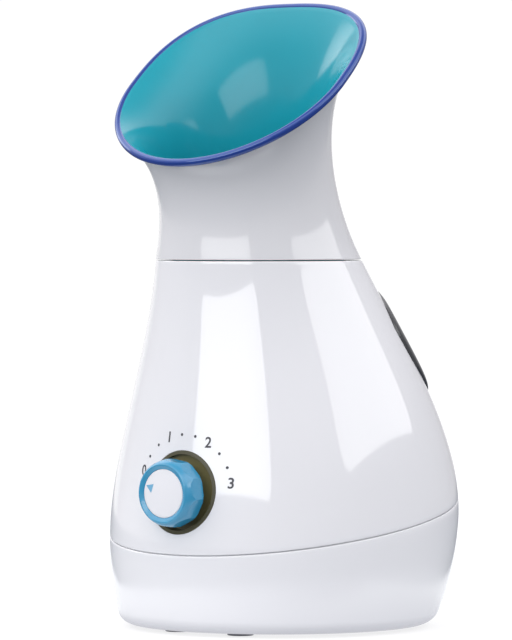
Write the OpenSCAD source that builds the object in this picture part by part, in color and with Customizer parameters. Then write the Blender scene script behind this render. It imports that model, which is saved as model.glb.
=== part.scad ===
// Table-top facial steamer: vase-shaped white housing, lift-off face hood,
// rear water tank, electric boiler and a four-position selector knob.
// Millimetres. Front is -Y, up is +Z, the origin is under the middle of the base.

/* [Housing outline] */
// distance from the axis to the front of the foot
foot_front = 75.6; // [60:0.1:95]
// distance from the axis to the back of the foot
foot_back = 73.4; // [60:0.1:95]
// height of the widest level
shoulder_z = 54; // [40:1:70]
// distance from the axis to the front at the widest level
shoulder_front = 78.3; // [65:0.1:100]
// distance from the axis to the back at the widest level
shoulder_back = 88.6; // [70:0.1:110]
// height of the joint between housing and hood
collar_z = 176; // [160:1:200]
// distance from the axis to the front at the collar
collar_front = 64.6; // [58:0.1:75]
// distance from the axis to the back at the collar
collar_back = 33.8; // [28:0.1:42]
// height of the lower joint line on the axis
part_z = 51.6; // [46:0.1:60]
// rise of the lower joint line towards the back, degrees
part_tilt = 9.85; // [0:0.05:12]
// rounding of the bottom edge
foot_edge_r = 6; // [3:0.5:10]
// wall of base and housing
wall = 2.5; // [2:0.1:3.5]
// shadow gap at the joint lines
line_gap = 0.5; // [0.3:0.05:1]

/* [Hood] */
// height of the rim centre
rim_z = 260.4; // [245:0.1:275]
// distance of the rim centre in front of the axis
rim_y = 34; // [24:0.1:40]
// half length of the rim, from its front up along its tilt
rim_len = 58.6; // [50:0.1:66]
// half width of the rim
rim_wide = 62.5; // [54:0.1:70]
// squareness of the rim's back half; 2 is an ellipse
rim_square = 2.6; // [2:0.05:3.2]
// tilt of the rim towards the front, degrees
rim_tilt = 40.4; // [25:0.1:50]
// wall of the outer hood shell, along the section
hood_wall = 1.7; // [1.4:0.1:2.5]
// wall of the inner funnel, along the section
liner_wall = 1.7; // [1.4:0.1:2.5]
// air gap between hood shell and funnel
liner_gap = 0.7; // [0.4:0.05:1.2]
// how far the coloured rim bead reaches down outside the shell
bead_h = 3; // [2:0.1:5]
// how far the hood lifts in the lift-off stand-in
hood_travel = 50; // [10:1:60]

/* [Selector] */
// height of the knob axis
knob_z = 67.5; // [62:0.1:75]
// largest radius of the knob
knob_r = 16.3; // [13:0.1:18]
// radius of the knob where its shoulder starts
knob_waist_r = 15; // [12:0.1:17]
// radius of the knob at its front edge
knob_front_r = 12.8; // [10:0.1:15]
// depth of the shoulder between side and front
knob_shoulder = 3.6; // [2:0.1:5]
// how far the knob stands out of the housing
knob_out = 13.2; // [10:0.1:16]
// radius of the white disc
disc_r = 11.4; // [8:0.1:12]
// number of flats around the grip
knob_flats = 10; // [8:1:20]
// radius of the dark well around the knob
well_r = 19.6; // [18:0.1:23]
// depth of the well
well_d = 5; // [4:0.1:8]
// direction of the pointer at the off position, degrees from the right
pointer_angle = 160; // [120:1:180]
// radius of the switch spindle
spindle_r = 3; // [2.5:0.1:4]

/* [Water tank] */
// distance from the collar joint down to the top of the tank
tank_drop = 9.5; // [7:0.5:16]
// half width of the tank
tank_half_w = 56; // [46:0.5:57]
// half height of the tank
tank_half_h = 30.5; // [24:0.5:31]
// how much narrower the tank gets per millimetre of height
tank_taper = 0.0039; // [0:0.0001:0.006]
// flat inner end of the tank, behind the axis
tank_y = 20; // [18:0.5:24]
// tank wall
tank_wall = 2.2; // [1.6:0.1:3]
// how far the tank stands proud of the housing
tank_proud = 1; // [0.5:0.1:3]
// gap around the tank
tank_gap = 0.4; // [0.3:0.05:1]
// radius of the finger scoop
scoop_r = 9; // [7:0.5:11]
// width of the finger scoop
scoop_w = 46; // [30:1:56]
// how far the tank slides out
tank_travel = 72; // [40:1:90]

/* [Boiler] */
// radius of the boiler cup
boiler_r = 35; // [30:0.5:37]
// height of the boiler cup
boiler_h = 34; // [26:0.5:36]
// level of the boiler's underside
boiler_z = 46; // [42:0.5:50]
// sheet of the boiler cup
boiler_wall = 1.2; // [0.8:0.1:2]
// outer radius of the steam duct
duct_r = 16; // [13:0.5:18]
// wall of the steam duct
duct_wall = 2; // [1.5:0.1:3]

/* [Details] */
// radius of the rubber feet
foot_r = 6.2; // [5:0.1:9]
// height of the rubber feet
foot_h = 1.6; // [1:0.1:4]
// radius of the screws under the base
screw_r = 1.5; // [1.2:0.1:2]
// width of the mains socket
inlet_w = 24; // [22:0.5:28]
// height of the mains socket
inlet_h = 16; // [14:0.5:18]
// points around the lofted shells
loft_n = 60; // [36:4:72]

/* [Hidden] */
$fn = 72;
// fits
slip = 0.05;
running = 0.1;
clear = 0.3;
// steepness of the outline at each level, millimetres per millimetre
foot_front_slope = 0.177;
foot_back_slope = 0.535;
shoulder_front_slope = -0.097;
shoulder_back_slope = 0.087;
collar_front_slope = 0.04;
collar_back_slope = -0.68;
// leads and flare angles that shape the hood between collar and rim
hood_front_lead = 4.5;
hood_back_lead = 28.3;
rim_front_lead = 21.1;
rim_back_lead = 46.1;
rim_front_flare = 22.9;
rim_back_flare = 57.5;
// the hood's walls thin towards the rim, from this share of its height, down to this share
lip_from = 0.75;
lip_thin = 0.5;
// base and joint details
floor_t = 2.5;
floor_top = foot_h + floor_t;
lip_h = 5;
lip_in = wall / 2;
foot_ring_r = 57;
foot_angles = [19, 161, -161, -19];
// collar and deck
steam_y = (collar_back - collar_front) / 2;
collar_r = (collar_back + collar_front) / 2;
housing_top = collar_z - line_gap / 2;
hood_bottom = collar_z + line_gap / 2;
seat_in = 1.2;
seat_d = 1.6;
shelf_in = 4.2;
shelf_d = 3.5;
deck_r = collar_r - seat_in - clear;
deck_t = 1.6;
dish_gap = 1.9;
dish_r = collar_r - shelf_in - deck_t - dish_gap;
dish_d = 4;
dish_floor = collar_z - dish_d;
spout_len = 14;
// steam guard: rim and cap heights, cap width and steam holes
guard_r = duct_r + 2;
guard_rim_h = 5;
guard_cap_h = 3;
guard_top_r = duct_r - 3;
guard_hole_r = 2.4;
guard_ring_r = 7.2;
skirt_r = dish_r - clear;
skirt_h = 3;
bead_in = (hood_wall + liner_gap + liner_wall) * lip_thin + 0.25;
bead_out = 1.3;
bead_cap = 0.7;
bead_slip = 0.05;
// boiler column
duct_bore = duct_r - duct_wall;
spout_r = duct_bore - slip;
spout_wall = 2;
flange_r = boiler_r + 5;
flange_t = 1.5;
flange_screw_ring = boiler_r + 2.6;
gasket_t = 1.5;
cup_top = boiler_z + boiler_h;
lid_z = cup_top + gasket_t;
lid_t = 2;
lid_rise = 15;
lid_top = lid_z + lid_t + lid_rise;
duct_bottom = lid_top + 0.5;
duct_top = dish_floor - deck_t - 0.3;
heater_r = boiler_r - 4;
heater_t = 6;
coil_ring_r = 24;
coil_r = 3.2;
coil_gap = 30;
cold_pin_l = 9;
cold_pin_angle = coil_gap + 9;
lead_r = 0.8;
stat_r = 8.5;
stat_h = 8;
stand_ring_t = 3;
stand_leg_r = 4.2;
stand_leg_ring = boiler_r + 1;
stand_out_r = stand_leg_ring + 3;
stand_angles = [90, 210, 330];
// selector stack, positions along Y
face_y = -front_d(knob_z);
knob_face_y = face_y - knob_out;
knob_back_y = face_y - 1.5;
well_floor_y = face_y + well_d;
well_floor_t = 2;
well_wall = 1.4;
well_fit = 0.1;
bushing_r = 4.5;
nut_t = 2.2;
switch_w = 22;
switch_d = 12;
spindle_tip = knob_face_y + 4;
hub_r = spindle_r + 2.6;
disc_t = 1.8;
pointer_h = 4.1;
pointer_w = 4.5;
pointer_tip_r = disc_r - 0.8;
pointer_t = 0.6;
selector_travel = 150;
// tank, bay and valve
tank_z = collar_z - tank_drop - tank_half_h;
bay_wall = 2;
bay_floor_y = tank_y - tank_gap - bay_wall;
scoop_z = tank_z + 14;
scoop_y = back_d(scoop_z) + tank_proud + 2;
cap_hole_r = 9;
valve_z = tank_z - tank_half_h + tank_wall + cap_hole_r + 0.8;
cap_flange_r = 12;
cap_flange_t = 2;
cap_plug_l = 5;
nose_r = 6;
nose_y = tank_y - 10;
cap_bore_r = 3.6;
web_t = 1.5;
dock_floor_y = nose_y - 1;
dock_bore_r = nose_r + clear;
dock_r = dock_bore_r + 2.4;
dock_flange_r = cap_flange_r + 4;
pin_r = 1.5;
valve_open = 3;
stem_r = 1.2;
stem_y = nose_y + 4.6;
head_r = 5.4;
head_t = 2;
foot_flange_r = 2.8;
hose_r = 4.6;
hose_bore = 3.05;
nipple_r = 3;
nipple_bore = 2;
nipple_y = nose_y + 0.5;
seal_r = 0.8;
seal_ring_r = nose_r - seal_r + clear - slip;
// control board
board_w = 50;
board_d = 46;
board_t = 1.6;
board_z = floor_top + 6;
board_y = steam_y;
post_r = 3;
// mains socket
inlet_z = 24;
inlet_back_y = back_d(inlet_z);
inlet_d = 19;
inlet_y = inlet_back_y - inlet_d + 0.6;
inlet_slot_w = 16.6;
inlet_slot_h = 8.8;
inlet_slot_d = 11.5;
inlet_pin_r = 1.2;
inlet_pin_x = 4.3;

function lerp(a, b, t) = a + (b - a) * t;

// cubic through two ends with given slopes over the length len
function hermite(a, sa, b, sb, len, t) =
    (2 * pow(t, 3) - 3 * pow(t, 2) + 1) * a
    + (pow(t, 3) - 2 * pow(t, 2) + t) * sa * len
    + (3 * pow(t, 2) - 2 * pow(t, 3)) * b
    + (pow(t, 3) - pow(t, 2)) * sb * len;

function outline(z, foot, s0, mid, s1, top, s2) =
    z < shoulder_z
    ? hermite(foot, s0, mid, s1, shoulder_z, z / shoulder_z)
    : hermite(mid, s1, top, s2, collar_z - shoulder_z, (z - shoulder_z) / (collar_z - shoulder_z));

// distance of the housing's front and back from the axis at height z
function front_d(z) = outline(z, foot_front, foot_front_slope, shoulder_front,
    shoulder_front_slope, collar_front, collar_front_slope);
function back_d(z) = outline(z, foot_back, foot_back_slope, shoulder_back,
    shoulder_back_slope, collar_back, collar_back_slope);

function bezier(a, b, c, d, t) =
    pow(1 - t, 3) * a + 3 * pow(1 - t, 2) * t * b + 3 * (1 - t) * pow(t, 2) * c + pow(t, 3) * d;

// A station is [front point, back point, half width]; the points are [y, z]. A hood or rim
// station adds the squareness of its back half.
// Housing station from height zf in front to height zb at the back.
function station(zf, zb, inset) = [
    [-front_d(zf) + inset, zf],
    [back_d(zb) - inset, zb],
    (front_d(zf) + back_d(zb)) / 2 - inset
];
function level(z, inset) = station(z, z, inset);

// heights where a plane parallel to the lower joint, up mm above it, meets the outline
function joint_front(up) = part_z + up - tan(part_tilt) * front_d(part_z + up - tan(part_tilt) * shoulder_front);
function joint_back(up) = part_z + up + tan(part_tilt) * back_d(part_z + up + tan(part_tilt) * shoulder_back);
function joint(up, inset) = station(joint_front(up), joint_back(up), inset);

// housing station inside, from the lip (t = 0) to the shelf under the deck (t = 1)
function inner(t, inset) = station(
    lerp(joint_front(lip_h + 1), housing_top - seat_d - shelf_d, t),
    lerp(joint_back(lip_h + 1), housing_top - seat_d - shelf_d, t), inset);

// round station about the steam axis
function round_at(z, r) = [[steam_y - r, z], [steam_y + r, z], r];

// hood curves in front and at the back, and the hood station at 0 <= t <= 1
rim_mid = [-rim_y, rim_z];
rim_along = [cos(rim_tilt), sin(rim_tilt)];
rim_up = [-sin(rim_tilt), cos(rim_tilt)];
function rim_lead(side, flare, lead) =
    rim_mid + side * rim_len * rim_along - lead * (cos(flare) * rim_up + sin(flare) * side * rim_along);
function hood_front(t) = bezier(
    [-collar_front, hood_bottom],
    [-collar_front - collar_front_slope * hood_front_lead, hood_bottom + hood_front_lead],
    rim_lead(-1, rim_front_flare, rim_front_lead),
    rim_lead(-1, 0, 0), t);
back_lean = atan(collar_back_slope);
function hood_back(t) = bezier(
    [collar_back, hood_bottom],
    [collar_back, hood_bottom] + hood_back_lead * [sin(back_lean), cos(back_lean)],
    rim_lead(1, rim_back_flare, rim_back_lead),
    rim_lead(1, 0, 0), t);
function lip(t) = lerp(1, lip_thin, pow(max(0, (t - lip_from) / (1 - lip_from)), 2));
// growth of the half width that carries the housing's flanks on without a bend, less the stations' own
flank_rise = 1.5 * (hood_front_lead + hood_back_lead * cos(back_lean));
flank_growth = 1.5 * (collar_front_slope * hood_front_lead + hood_back_lead * sin(back_lean))
    + (rim_wide / rim_len - 1) * collar_r;
flank_ease = flank_rise * (collar_front_slope + collar_back_slope) / 2 - flank_growth;
function hood_half(t, n) = lerp(1, rim_wide / rim_len, t) * n / 2 + flank_ease * t * pow(1 - t, 3);
function hood_at(t, inset) =
    let (f = hood_front(t), b = hood_back(t), n = norm(b - f), u = (b - f) / n, i = inset * lip(t))
    [f + i * u, b - i * u, hood_half(t, n) - i, lerp(2, rim_square, t * t)];

// station on the rim's outline, up mm above its plane and out mm outside it
function rim_at(up, out) = [
    rim_mid - (rim_len + out) * rim_along + up * rim_up,
    rim_mid + (rim_len + out) * rim_along + up * rim_up,
    rim_wide + out,
    rim_square
];

// sine or cosine v on an outline of squareness e
function squared(v, e) = sign(v) * pow(abs(v), 2 / e);

// points around one station
function ring(s) = [
    for (i = [0 : loft_n - 1])
        let (
            a = 360 * i / loft_n,
            e = len(s) > 3 && cos(a) > 0 ? s[3] : 2,
            m = (s[0] + s[1]) / 2,
            h = (s[1] - s[0]) / 2 * squared(cos(a), e)
        )
        [s[2] * squared(sin(a), e), m[0] + h[0], m[1] + h[1]]
];

// skin over a row of stations; a loop joins the last to the first, otherwise the ends are capped
module skin(stations, loop) {
    rows = len(stations);
    spans = loop ? rows : rows - 1;
    points = [for (s = stations) each ring(s)];
    sides = [
        for (k = [0 : spans - 1], i = [0 : loft_n - 1])
            let (
                j = (i + 1) % loft_n,
                a = k * loft_n,
                b = ((k + 1) % rows) * loft_n
            )
            each [[a + i, a + j, b + j], [a + i, b + j, b + i]]
    ];
    caps = loop ? [] : [
        [for (i = [loft_n - 1 : -1 : 0]) i],
        [for (i = [0 : loft_n - 1]) (rows - 1) * loft_n + i]
    ];
    polyhedron(points = points, faces = concat(sides, caps), convexity = 8);
}

// solid between two heights of the housing outline, moved in by inset
module outline_solid(z0, z1, inset, steps) {
    skin([for (k = [0 : steps]) level(lerp(z0, z1, k / steps), inset)], false);
}

// cylinder along +Y from y0 to y1
module along_y(y0, y1, r) {
    translate([0, y0, 0])
        rotate([-90, 0, 0])
            cylinder(r = r, h = y1 - y0);
}

module tube(r, bore, z0, z1) {
    translate([0, 0, z0])
        difference() {
            cylinder(r = r, h = z1 - z0);
            translate([0, 0, -1])
                cylinder(r = bore, h = z1 - z0 + 2);
        }
}

// round wire along a path; ref is any direction the path never follows
function unit(v) = v / norm(v);
function heading(path, k) = unit(path[min(k + 1, len(path) - 1)] - path[max(k - 1, 0)]);
module wire(path, r, ref) {
    sides = 6;
    rows = len(path);
    points = [
        for (k = [0 : rows - 1], i = [0 : sides - 1])
            let (
                t = heading(path, k),
                n = unit(cross(t, ref)),
                m = cross(n, t),
                b = 360 * i / sides
            )
            path[k] + r * (cos(b) * n + sin(b) * m)
    ];
    skins = [
        for (k = [0 : rows - 2], i = [0 : sides - 1])
            let (a = k * sides, b = a + sides, j = (i + 1) % sides)
            each [[a + i, a + j, b + j], [a + i, b + j, b + i]]
    ];
    ends = [
        [for (i = [sides - 1 : -1 : 0]) i],
        [for (i = [0 : sides - 1]) (rows - 1) * sides + i]
    ];
    polyhedron(points = points, faces = concat(skins, ends), convexity = 10);
}

// wire bent between two ends, leaving and arriving along given leads
function bend(start, start_lead, end_lead, end, from = 0) = [
    for (k = [from : 10])
        bezier(start, start + start_lead, end + end_lead, end, k / 10)
];
module lead(start, start_lead, end_lead, end) {
    wire(bend(start, start_lead, end_lead, end), lead_r, [1, 0, 0]);
}

// BASE

// white lower cup with floor, holes for the stand screws and the mains socket
module base_shell() {
    color("white")
    difference() {
        skin(concat(
            [for (a = [0 : 22.5 : 67.5])
                level(foot_h + foot_edge_r * (1 - cos(a)), foot_edge_r * (1 - sin(a)))],
            [for (k = [0 : 5])
                station(
                    lerp(foot_h + foot_edge_r, joint_front(0), k / 5),
                    lerp(foot_h + foot_edge_r, joint_back(0), k / 5), 0)],
            [joint(0, lip_in), joint(lip_h, lip_in), joint(lip_h, wall)],
            [for (k = [4 : -1 : 0])
                station(
                    lerp(floor_top + foot_edge_r - wall, joint_front(0), k / 5),
                    lerp(floor_top + foot_edge_r - wall, joint_back(0), k / 5), wall)],
            [level(floor_top, foot_edge_r)]
        ), false);
        stand_screw_places()
            translate([0, 0, foot_h - 1])
                cylinder(r = screw_r + 0.2, h = floor_t + 2);
        translate([-inlet_w / 2 - slip, inlet_y, inlet_z - inlet_h / 2 - slip])
            cube([inlet_w + 2 * slip, inlet_d + 20, inlet_h + 2 * slip]);
    }
}

module foot_places() {
    for (a = foot_angles)
        translate([foot_ring_r * sin(a), -foot_ring_r * cos(a), 0])
            children();
}

module rubber_feet() {
    color("dimgray")
    foot_places()
        cylinder(r = foot_r, h = foot_h);
}

// HOUSING

// white upper housing, with the well for the knob and the opening for the tank
module body_shell() {
    low = line_gap;
    color("white")
    difference() {
        skin(concat(
            [for (k = [0 : 14])
                station(
                    lerp(joint_front(low), housing_top, k / 14),
                    lerp(joint_back(low), housing_top, k / 14), 0)],
            [level(housing_top, seat_in), level(housing_top - seat_d, seat_in)],
            [level(housing_top - seat_d, shelf_in), level(housing_top - seat_d - shelf_d, wall)],
            [for (k = [9 : -1 : 0]) inner(k / 10, wall)],
            [joint(lip_h + 1, lip_in - 0.2), joint(low, lip_in - 0.2)]
        ), true);
        translate([0, 0, knob_z])
            along_y(face_y - 10, face_y + 20, well_r + well_fit);
        tank_prism(tank_gap, tank_y, tank_y + 90);
    }
}

// teal deck in the collar, with the steam spout
module collar_deck() {
    color("teal")
    translate([0, steam_y, 0])
        difference() {
            union() {
                translate([0, 0, housing_top - seat_d])
                    cylinder(r = deck_r, h = seat_d);
                translate([0, 0, dish_floor - deck_t])
                    cylinder(r = dish_r + deck_t, h = dish_d);
                translate([0, 0, dish_floor - spout_len])
                    cylinder(r = spout_r, h = spout_len);
            }
            translate([0, 0, dish_floor])
                cylinder(r = dish_r, h = 2 * dish_d);
            translate([0, 0, dish_floor - spout_len - 1])
                cylinder(r = spout_r - spout_wall, h = spout_len + 2);
        }
}

// round cap with drip wall and steam holes over the spout
module steam_guard() {
    color("teal")
    translate([0, steam_y, dish_floor])
        difference() {
            union() {
                cylinder(r = guard_r, h = guard_rim_h);
                translate([0, 0, guard_rim_h])
                    cylinder(r1 = guard_r, r2 = guard_top_r, h = guard_cap_h);
            }
            translate([0, 0, -1])
                cylinder(r = duct_r, h = guard_rim_h + 1);
            for (k = [0 : 6])
                rotate(60 * k)
                    translate([k == 0 ? 0 : guard_ring_r, 0, -1])
                        cylinder(r = guard_hole_r, h = guard_rim_h + guard_cap_h + 2);
        }
}

// HOOD

function hood_steps(from, to, inset) = [
    for (k = [0 : 14])
        hood_at(lerp(from, to, k / 14), inset)
];

// white outer shell of the lift-off hood
module hood_shell() {
    color("white")
    skin(concat(
        hood_steps(0, 1, 0),
        hood_steps(1, 0, hood_wall)
    ), true);
}

// teal funnel inside the hood; its skirt drops into the deck
module hood_liner() {
    outer = hood_wall + liner_gap;
    inner = outer + liner_wall;
    start = 0.04;
    color("teal")
    skin(concat(
        [round_at(collar_z - skirt_h, skirt_r), round_at(collar_z + clear, skirt_r)],
        [round_at(collar_z + clear, collar_r - outer)],
        hood_steps(start, 1, outer),
        hood_steps(1, start, inner),
        [round_at(collar_z + clear, skirt_r - liner_wall)],
        [round_at(collar_z - skirt_h, skirt_r - liner_wall)]
    ), true);
}

// coloured bead over the edges of shell and funnel, with a rounded leg outside
module hood_rim() {
    soft = 0.5;
    color("royalblue")
    skin([
        rim_at(-bead_h, bead_slip),
        rim_at(-bead_h, bead_out - soft),
        rim_at(soft - bead_h, bead_out),
        rim_at(bead_cap - 2 * soft, bead_out),
        rim_at(bead_cap - soft / 2, bead_out - soft),
        rim_at(bead_cap, bead_out - 2 * soft),
        rim_at(bead_cap, soft - bead_in),
        rim_at(bead_cap - soft, -bead_in),
        rim_at(0, -bead_in),
        rim_at(0, bead_slip)
    ], true);
}

// BOILER

module boiler_axis() {
    translate([0, steam_y, 0])
        children();
}

module flange_screw_places() {
    boiler_axis()
        for (a = [45 : 90 : 315])
            rotate(a)
                translate([flange_screw_ring, 0, 0])
                    children();
}

// drawn steel cup with flange
module boiler_cup() {
    color("silver")
    difference() {
        boiler_axis() {
            translate([0, 0, boiler_z])
                cylinder(r = boiler_r, h = boiler_h);
            translate([0, 0, cup_top - flange_t])
                cylinder(r = flange_r, h = flange_t);
        }
        boiler_axis()
            translate([0, 0, boiler_z + boiler_wall])
                cylinder(r = boiler_r - boiler_wall, h = boiler_h);
        flange_screw_places()
            translate([0, 0, cup_top - 5])
                cylinder(r = screw_r + 0.1, h = 10);
    }
}

module boiler_gasket() {
    color("orangered")
    difference() {
        boiler_axis()
            tube(flange_r, boiler_r - boiler_wall, cup_top, lid_z);
        flange_screw_places()
            translate([0, 0, cup_top - 5])
                cylinder(r = screw_r + 0.1, h = 10);
    }
}

// conical lid with steam spout and water nipple
module boiler_lid() {
    bore = spout_r - spout_wall;
    color("gainsboro")
    difference() {
        union() {
            boiler_axis() {
                translate([0, 0, lid_z])
                    cylinder(r = flange_r, h = lid_t);
                translate([0, 0, lid_z])
                    cylinder(r1 = boiler_r - boiler_wall, r2 = duct_r, h = lid_t + lid_rise);
                translate([0, 0, lid_top - 1])
                    cylinder(r = spout_r, h = 10);
            }
            translate([0, nipple_y, lid_z])
                cylinder(r = nipple_r, h = hose_mid_z() - lid_z - 1.5);
        }
        boiler_axis() {
            translate([0, 0, lid_z - 0.01])
                cylinder(r1 = boiler_r - boiler_wall - lid_t, r2 = bore, h = lid_rise);
            translate([0, 0, lid_z])
                cylinder(r = bore, h = 60);
        }
        translate([0, nipple_y, lid_z - 1])
            cylinder(r = nipple_bore, h = 60);
        flange_screw_places()
            translate([0, 0, lid_z - 5])
                cylinder(r = screw_r + 0.1, h = 10);
    }
}

// four screws with nuts that clamp cup, gasket and lid
module boiler_screws() {
    stack = flange_t + gasket_t + lid_t;
    color("silver")
    flange_screw_places()
        translate([0, 0, cup_top - flange_t]) {
            translate([0, 0, -2.4])
                cylinder(r = screw_r, h = stack + 3.4);
            translate([0, 0, -2])
                cylinder(r = 2.3, h = 2, $fn = 6);
            translate([0, 0, stack])
                cylinder(r = 2.3, h = 1.6);
        }
}

// aluminium plate under the cup, grooved for the element
module heater_plate() {
    color("lightgray")
    boiler_axis()
        difference() {
            translate([0, 0, boiler_z - heater_t])
                cylinder(r = heater_r, h = heater_t);
            translate([0, 0, boiler_z - heater_t])
                rotate_extrude()
                    translate([coil_ring_r, 0])
                        circle(r = coil_r + slip);
        }
}

// tubular element bent to an open ring, with its two cold pins
module heating_element() {
    color("dimgray")
    boiler_axis()
        translate([0, 0, boiler_z - heater_t]) {
            rotate(90 + coil_gap)
                rotate_extrude(angle = 360 - 2 * coil_gap)
                    translate([coil_ring_r, 0])
                        circle(r = coil_r);
            for (a = [90 - cold_pin_angle, 90 + cold_pin_angle])
                rotate(a)
                    translate([coil_ring_r, 0, -cold_pin_l])
                        cylinder(r = coil_r - 0.6, h = cold_pin_l);
        }
}

// disc thermostat with two tabs
module thermostat() {
    top = boiler_z - heater_t;
    color("saddlebrown")
    boiler_axis() {
        translate([0, 0, top - stat_h])
            cylinder(r = stat_r, h = stat_h);
        for (x = [-4.4, 3.6])
            translate([x, -3.2, top - stat_h - 5])
                cube([0.8, 6.4, 5.5]);
    }
}

// ring on three legs that carries the boiler
module boiler_stand() {
    color("whitesmoke")
    boiler_axis()
        difference() {
            union() {
                tube(stand_out_r, heater_r + 1, boiler_z - stand_ring_t, boiler_z);
                for (a = stand_angles)
                    rotate(a)
                        translate([stand_leg_ring, 0, floor_top])
                            cylinder(r = stand_leg_r, h = boiler_z - floor_top - 0.5);
            }
            for (a = stand_angles)
                rotate(a)
                    translate([stand_leg_ring, 0, floor_top - 1])
                        cylinder(r = screw_r, h = 14);
        }
}

module stand_screw_places() {
    boiler_axis()
        for (a = stand_angles)
            rotate(a)
                translate([stand_leg_ring, 0, 0])
                    children();
}

module stand_screws() {
    color("silver")
    stand_screw_places() {
        translate([0, 0, 0.3])
            cylinder(r = 2.8, h = foot_h - 0.3);
        translate([0, 0, foot_h - 0.1])
            cylinder(r = screw_r - slip, h = 12);
    }
}

// silicone sleeve from boiler lid to deck
module steam_duct() {
    color("lightgray")
    boiler_axis()
        tube(duct_r, duct_bore, duct_bottom, duct_top);
}

// ELECTRICS

module board_corners() {
    for (x = [-1, 1], y = [-1, 1])
        translate([x * (board_w / 2 - 4), board_y + y * (board_d / 2 - 4), 0])
            children();
}

module control_board() {
    color("darkgreen")
    difference() {
        translate([-board_w / 2, board_y - board_d / 2, board_z])
            cube([board_w, board_d, board_t]);
        board_corners()
            translate([0, 0, board_z - 1])
                cylinder(r = 1.6, h = 5);
    }
}

// four moulded posts with snap pins
module board_posts() {
    color("whitesmoke")
    board_corners() {
        translate([0, 0, floor_top])
            cylinder(r = post_r, h = board_z - floor_top);
        translate([0, 0, board_z - 1])
            cylinder(r = 1.5, h = board_t + 3);
    }
}

module board_relay() {
    color("royalblue")
    translate([-18, board_y + 2, board_z + board_t])
        cube([15, 12, 10]);
}

module board_transformer() {
    color("gold")
    translate([4, board_y - 4, board_z + board_t]) {
        cube([15, 19, 9]);
        translate([2, 2, 8])
            cube([11, 15, 3]);
    }
}

module board_capacitors() {
    color("midnightblue")
    for (x = [-12, -3, 6])
        translate([x, board_y - 14, board_z + board_t])
            cylinder(r = 3.2, h = 9);
}

// SELECTOR

module knob_axis() {
    translate([0, 0, knob_z])
        children();
}

// dark well around the knob, trimmed flush with the housing
module knob_bezel() {
    back = well_floor_y + well_floor_t;
    color("darkslategray")
    intersection() {
        knob_axis()
            difference() {
                along_y(face_y - 8, back, well_r);
                along_y(face_y - 9, well_floor_y, well_r - well_wall);
                along_y(face_y, back + 1, bushing_r + running);
            }
        outline_solid(knob_z - well_r - 6, knob_z + well_r + 6, -0.3, 6);
    }
}

// switch case and its threaded bushing
module rotary_switch() {
    case_y = well_floor_y + well_floor_t;
    color("black")
    knob_axis()
        difference() {
            union() {
                translate([-switch_w / 2, case_y, -switch_w / 2])
                    cube([switch_w, switch_d, switch_w]);
                along_y(well_floor_y - nut_t - 1, case_y + 1, bushing_r);
                for (x = [-6, 0, 6])
                    translate([x - 1.5, case_y + switch_d - 1, -4])
                        cube([3, 4, 0.8]);
            }
            along_y(well_floor_y - 10, case_y + switch_d - 3, spindle_r + running);
        }
}

module switch_nut() {
    color("silver")
    knob_axis()
        difference() {
            translate([0, well_floor_y, 0])
                rotate([90, 0, 0])
                    cylinder(r = 7.4, h = nut_t, $fn = 6);
            along_y(well_floor_y - 10, well_floor_y + 1, bushing_r + slip);
        }
}

module switch_shaft() {
    color("silver")
    knob_axis()
        along_y(spindle_tip, well_floor_y + well_floor_t + switch_d - 3.5, spindle_r);
}

// blue grip with flats, hollow behind, hub on the spindle
module knob_grip() {
    widest = knob_back_y - 1.6;
    waist = knob_face_y + knob_shoulder;
    lean = atan((knob_r - knob_waist_r) / (widest - waist));
    flat = knob_r * (1 - cos(180 / knob_flats));
    color("skyblue")
    knob_axis()
        difference() {
            rotate([90, 0, 0]) {
                translate([0, 0, -knob_back_y])
                    cylinder(r1 = knob_r - 0.7, r2 = knob_r, h = knob_back_y - widest);
                translate([0, 0, -widest])
                    cylinder(r1 = knob_r, r2 = knob_waist_r, h = widest - waist);
                translate([0, 0, -waist])
                    cylinder(r1 = knob_waist_r, r2 = knob_front_r, h = knob_shoulder);
            }
            for (i = [0 : knob_flats - 1])
                rotate([0, 360 * i / knob_flats, 0])
                    translate([knob_r - flat, widest, 0])
                        rotate([0, 0, -lean])
                            translate([0, -30, -10])
                                cube([10, 40, 20]);
            along_y(knob_face_y - 1, knob_face_y + disc_t, disc_r + slip);
            difference() {
                along_y(knob_face_y + disc_t + 1.6, knob_back_y + 1, knob_r - 4);
                along_y(knob_face_y, knob_back_y + 2, hub_r);
            }
            along_y(spindle_tip - clear, knob_back_y + 2, spindle_r + slip);
        }
}

module pointer_outline(grow) {
    rotate(pointer_angle)
        polygon([
            [pointer_tip_r + grow, 0],
            [pointer_tip_r - pointer_h - grow, pointer_w / 2 + grow],
            [pointer_tip_r - pointer_h - grow, -pointer_w / 2 - grow]
        ]);
}

// flat shape facing the front, extruded from y0 back to y1
module facing_front(y0, y1) {
    translate([0, y1, 0])
        rotate([90, 0, 0])
            linear_extrude(height = y1 - y0)
                children();
}

module knob_face() {
    color("white")
    knob_axis()
        difference() {
            along_y(knob_face_y, knob_face_y + disc_t, disc_r);
            facing_front(knob_face_y - 1, knob_face_y + pointer_t)
                pointer_outline(slip);
        }
}

module knob_pointer() {
    color("royalblue")
    knob_axis()
        facing_front(knob_face_y - 0.05, knob_face_y + pointer_t)
            pointer_outline(0);
}

// WATER TANK

// tank outline seen from behind: a soft oval that narrows upwards
function tank_width(v, grow) =
    (tank_half_w + grow) * pow(1 - pow(abs(v), 3), 1 / 3)
    * (1 - tank_taper * v * tank_half_h);

module tank_outline(grow) {
    steps = 20;
    levels = [for (k = [-steps : steps]) sin(90 * k / steps)];
    polygon(concat(
        [for (v = levels) [tank_width(v, grow), tank_z + v * (tank_half_h + grow)]],
        [for (k = [1 : 2 * steps - 1])
            let (v = levels[2 * steps - k])
            [-tank_width(v, grow), tank_z + v * (tank_half_h + grow)]]
    ));
}

module tank_prism(grow, y0, y1) {
    facing_front(y0, y1)
        tank_outline(grow);
}

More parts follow.
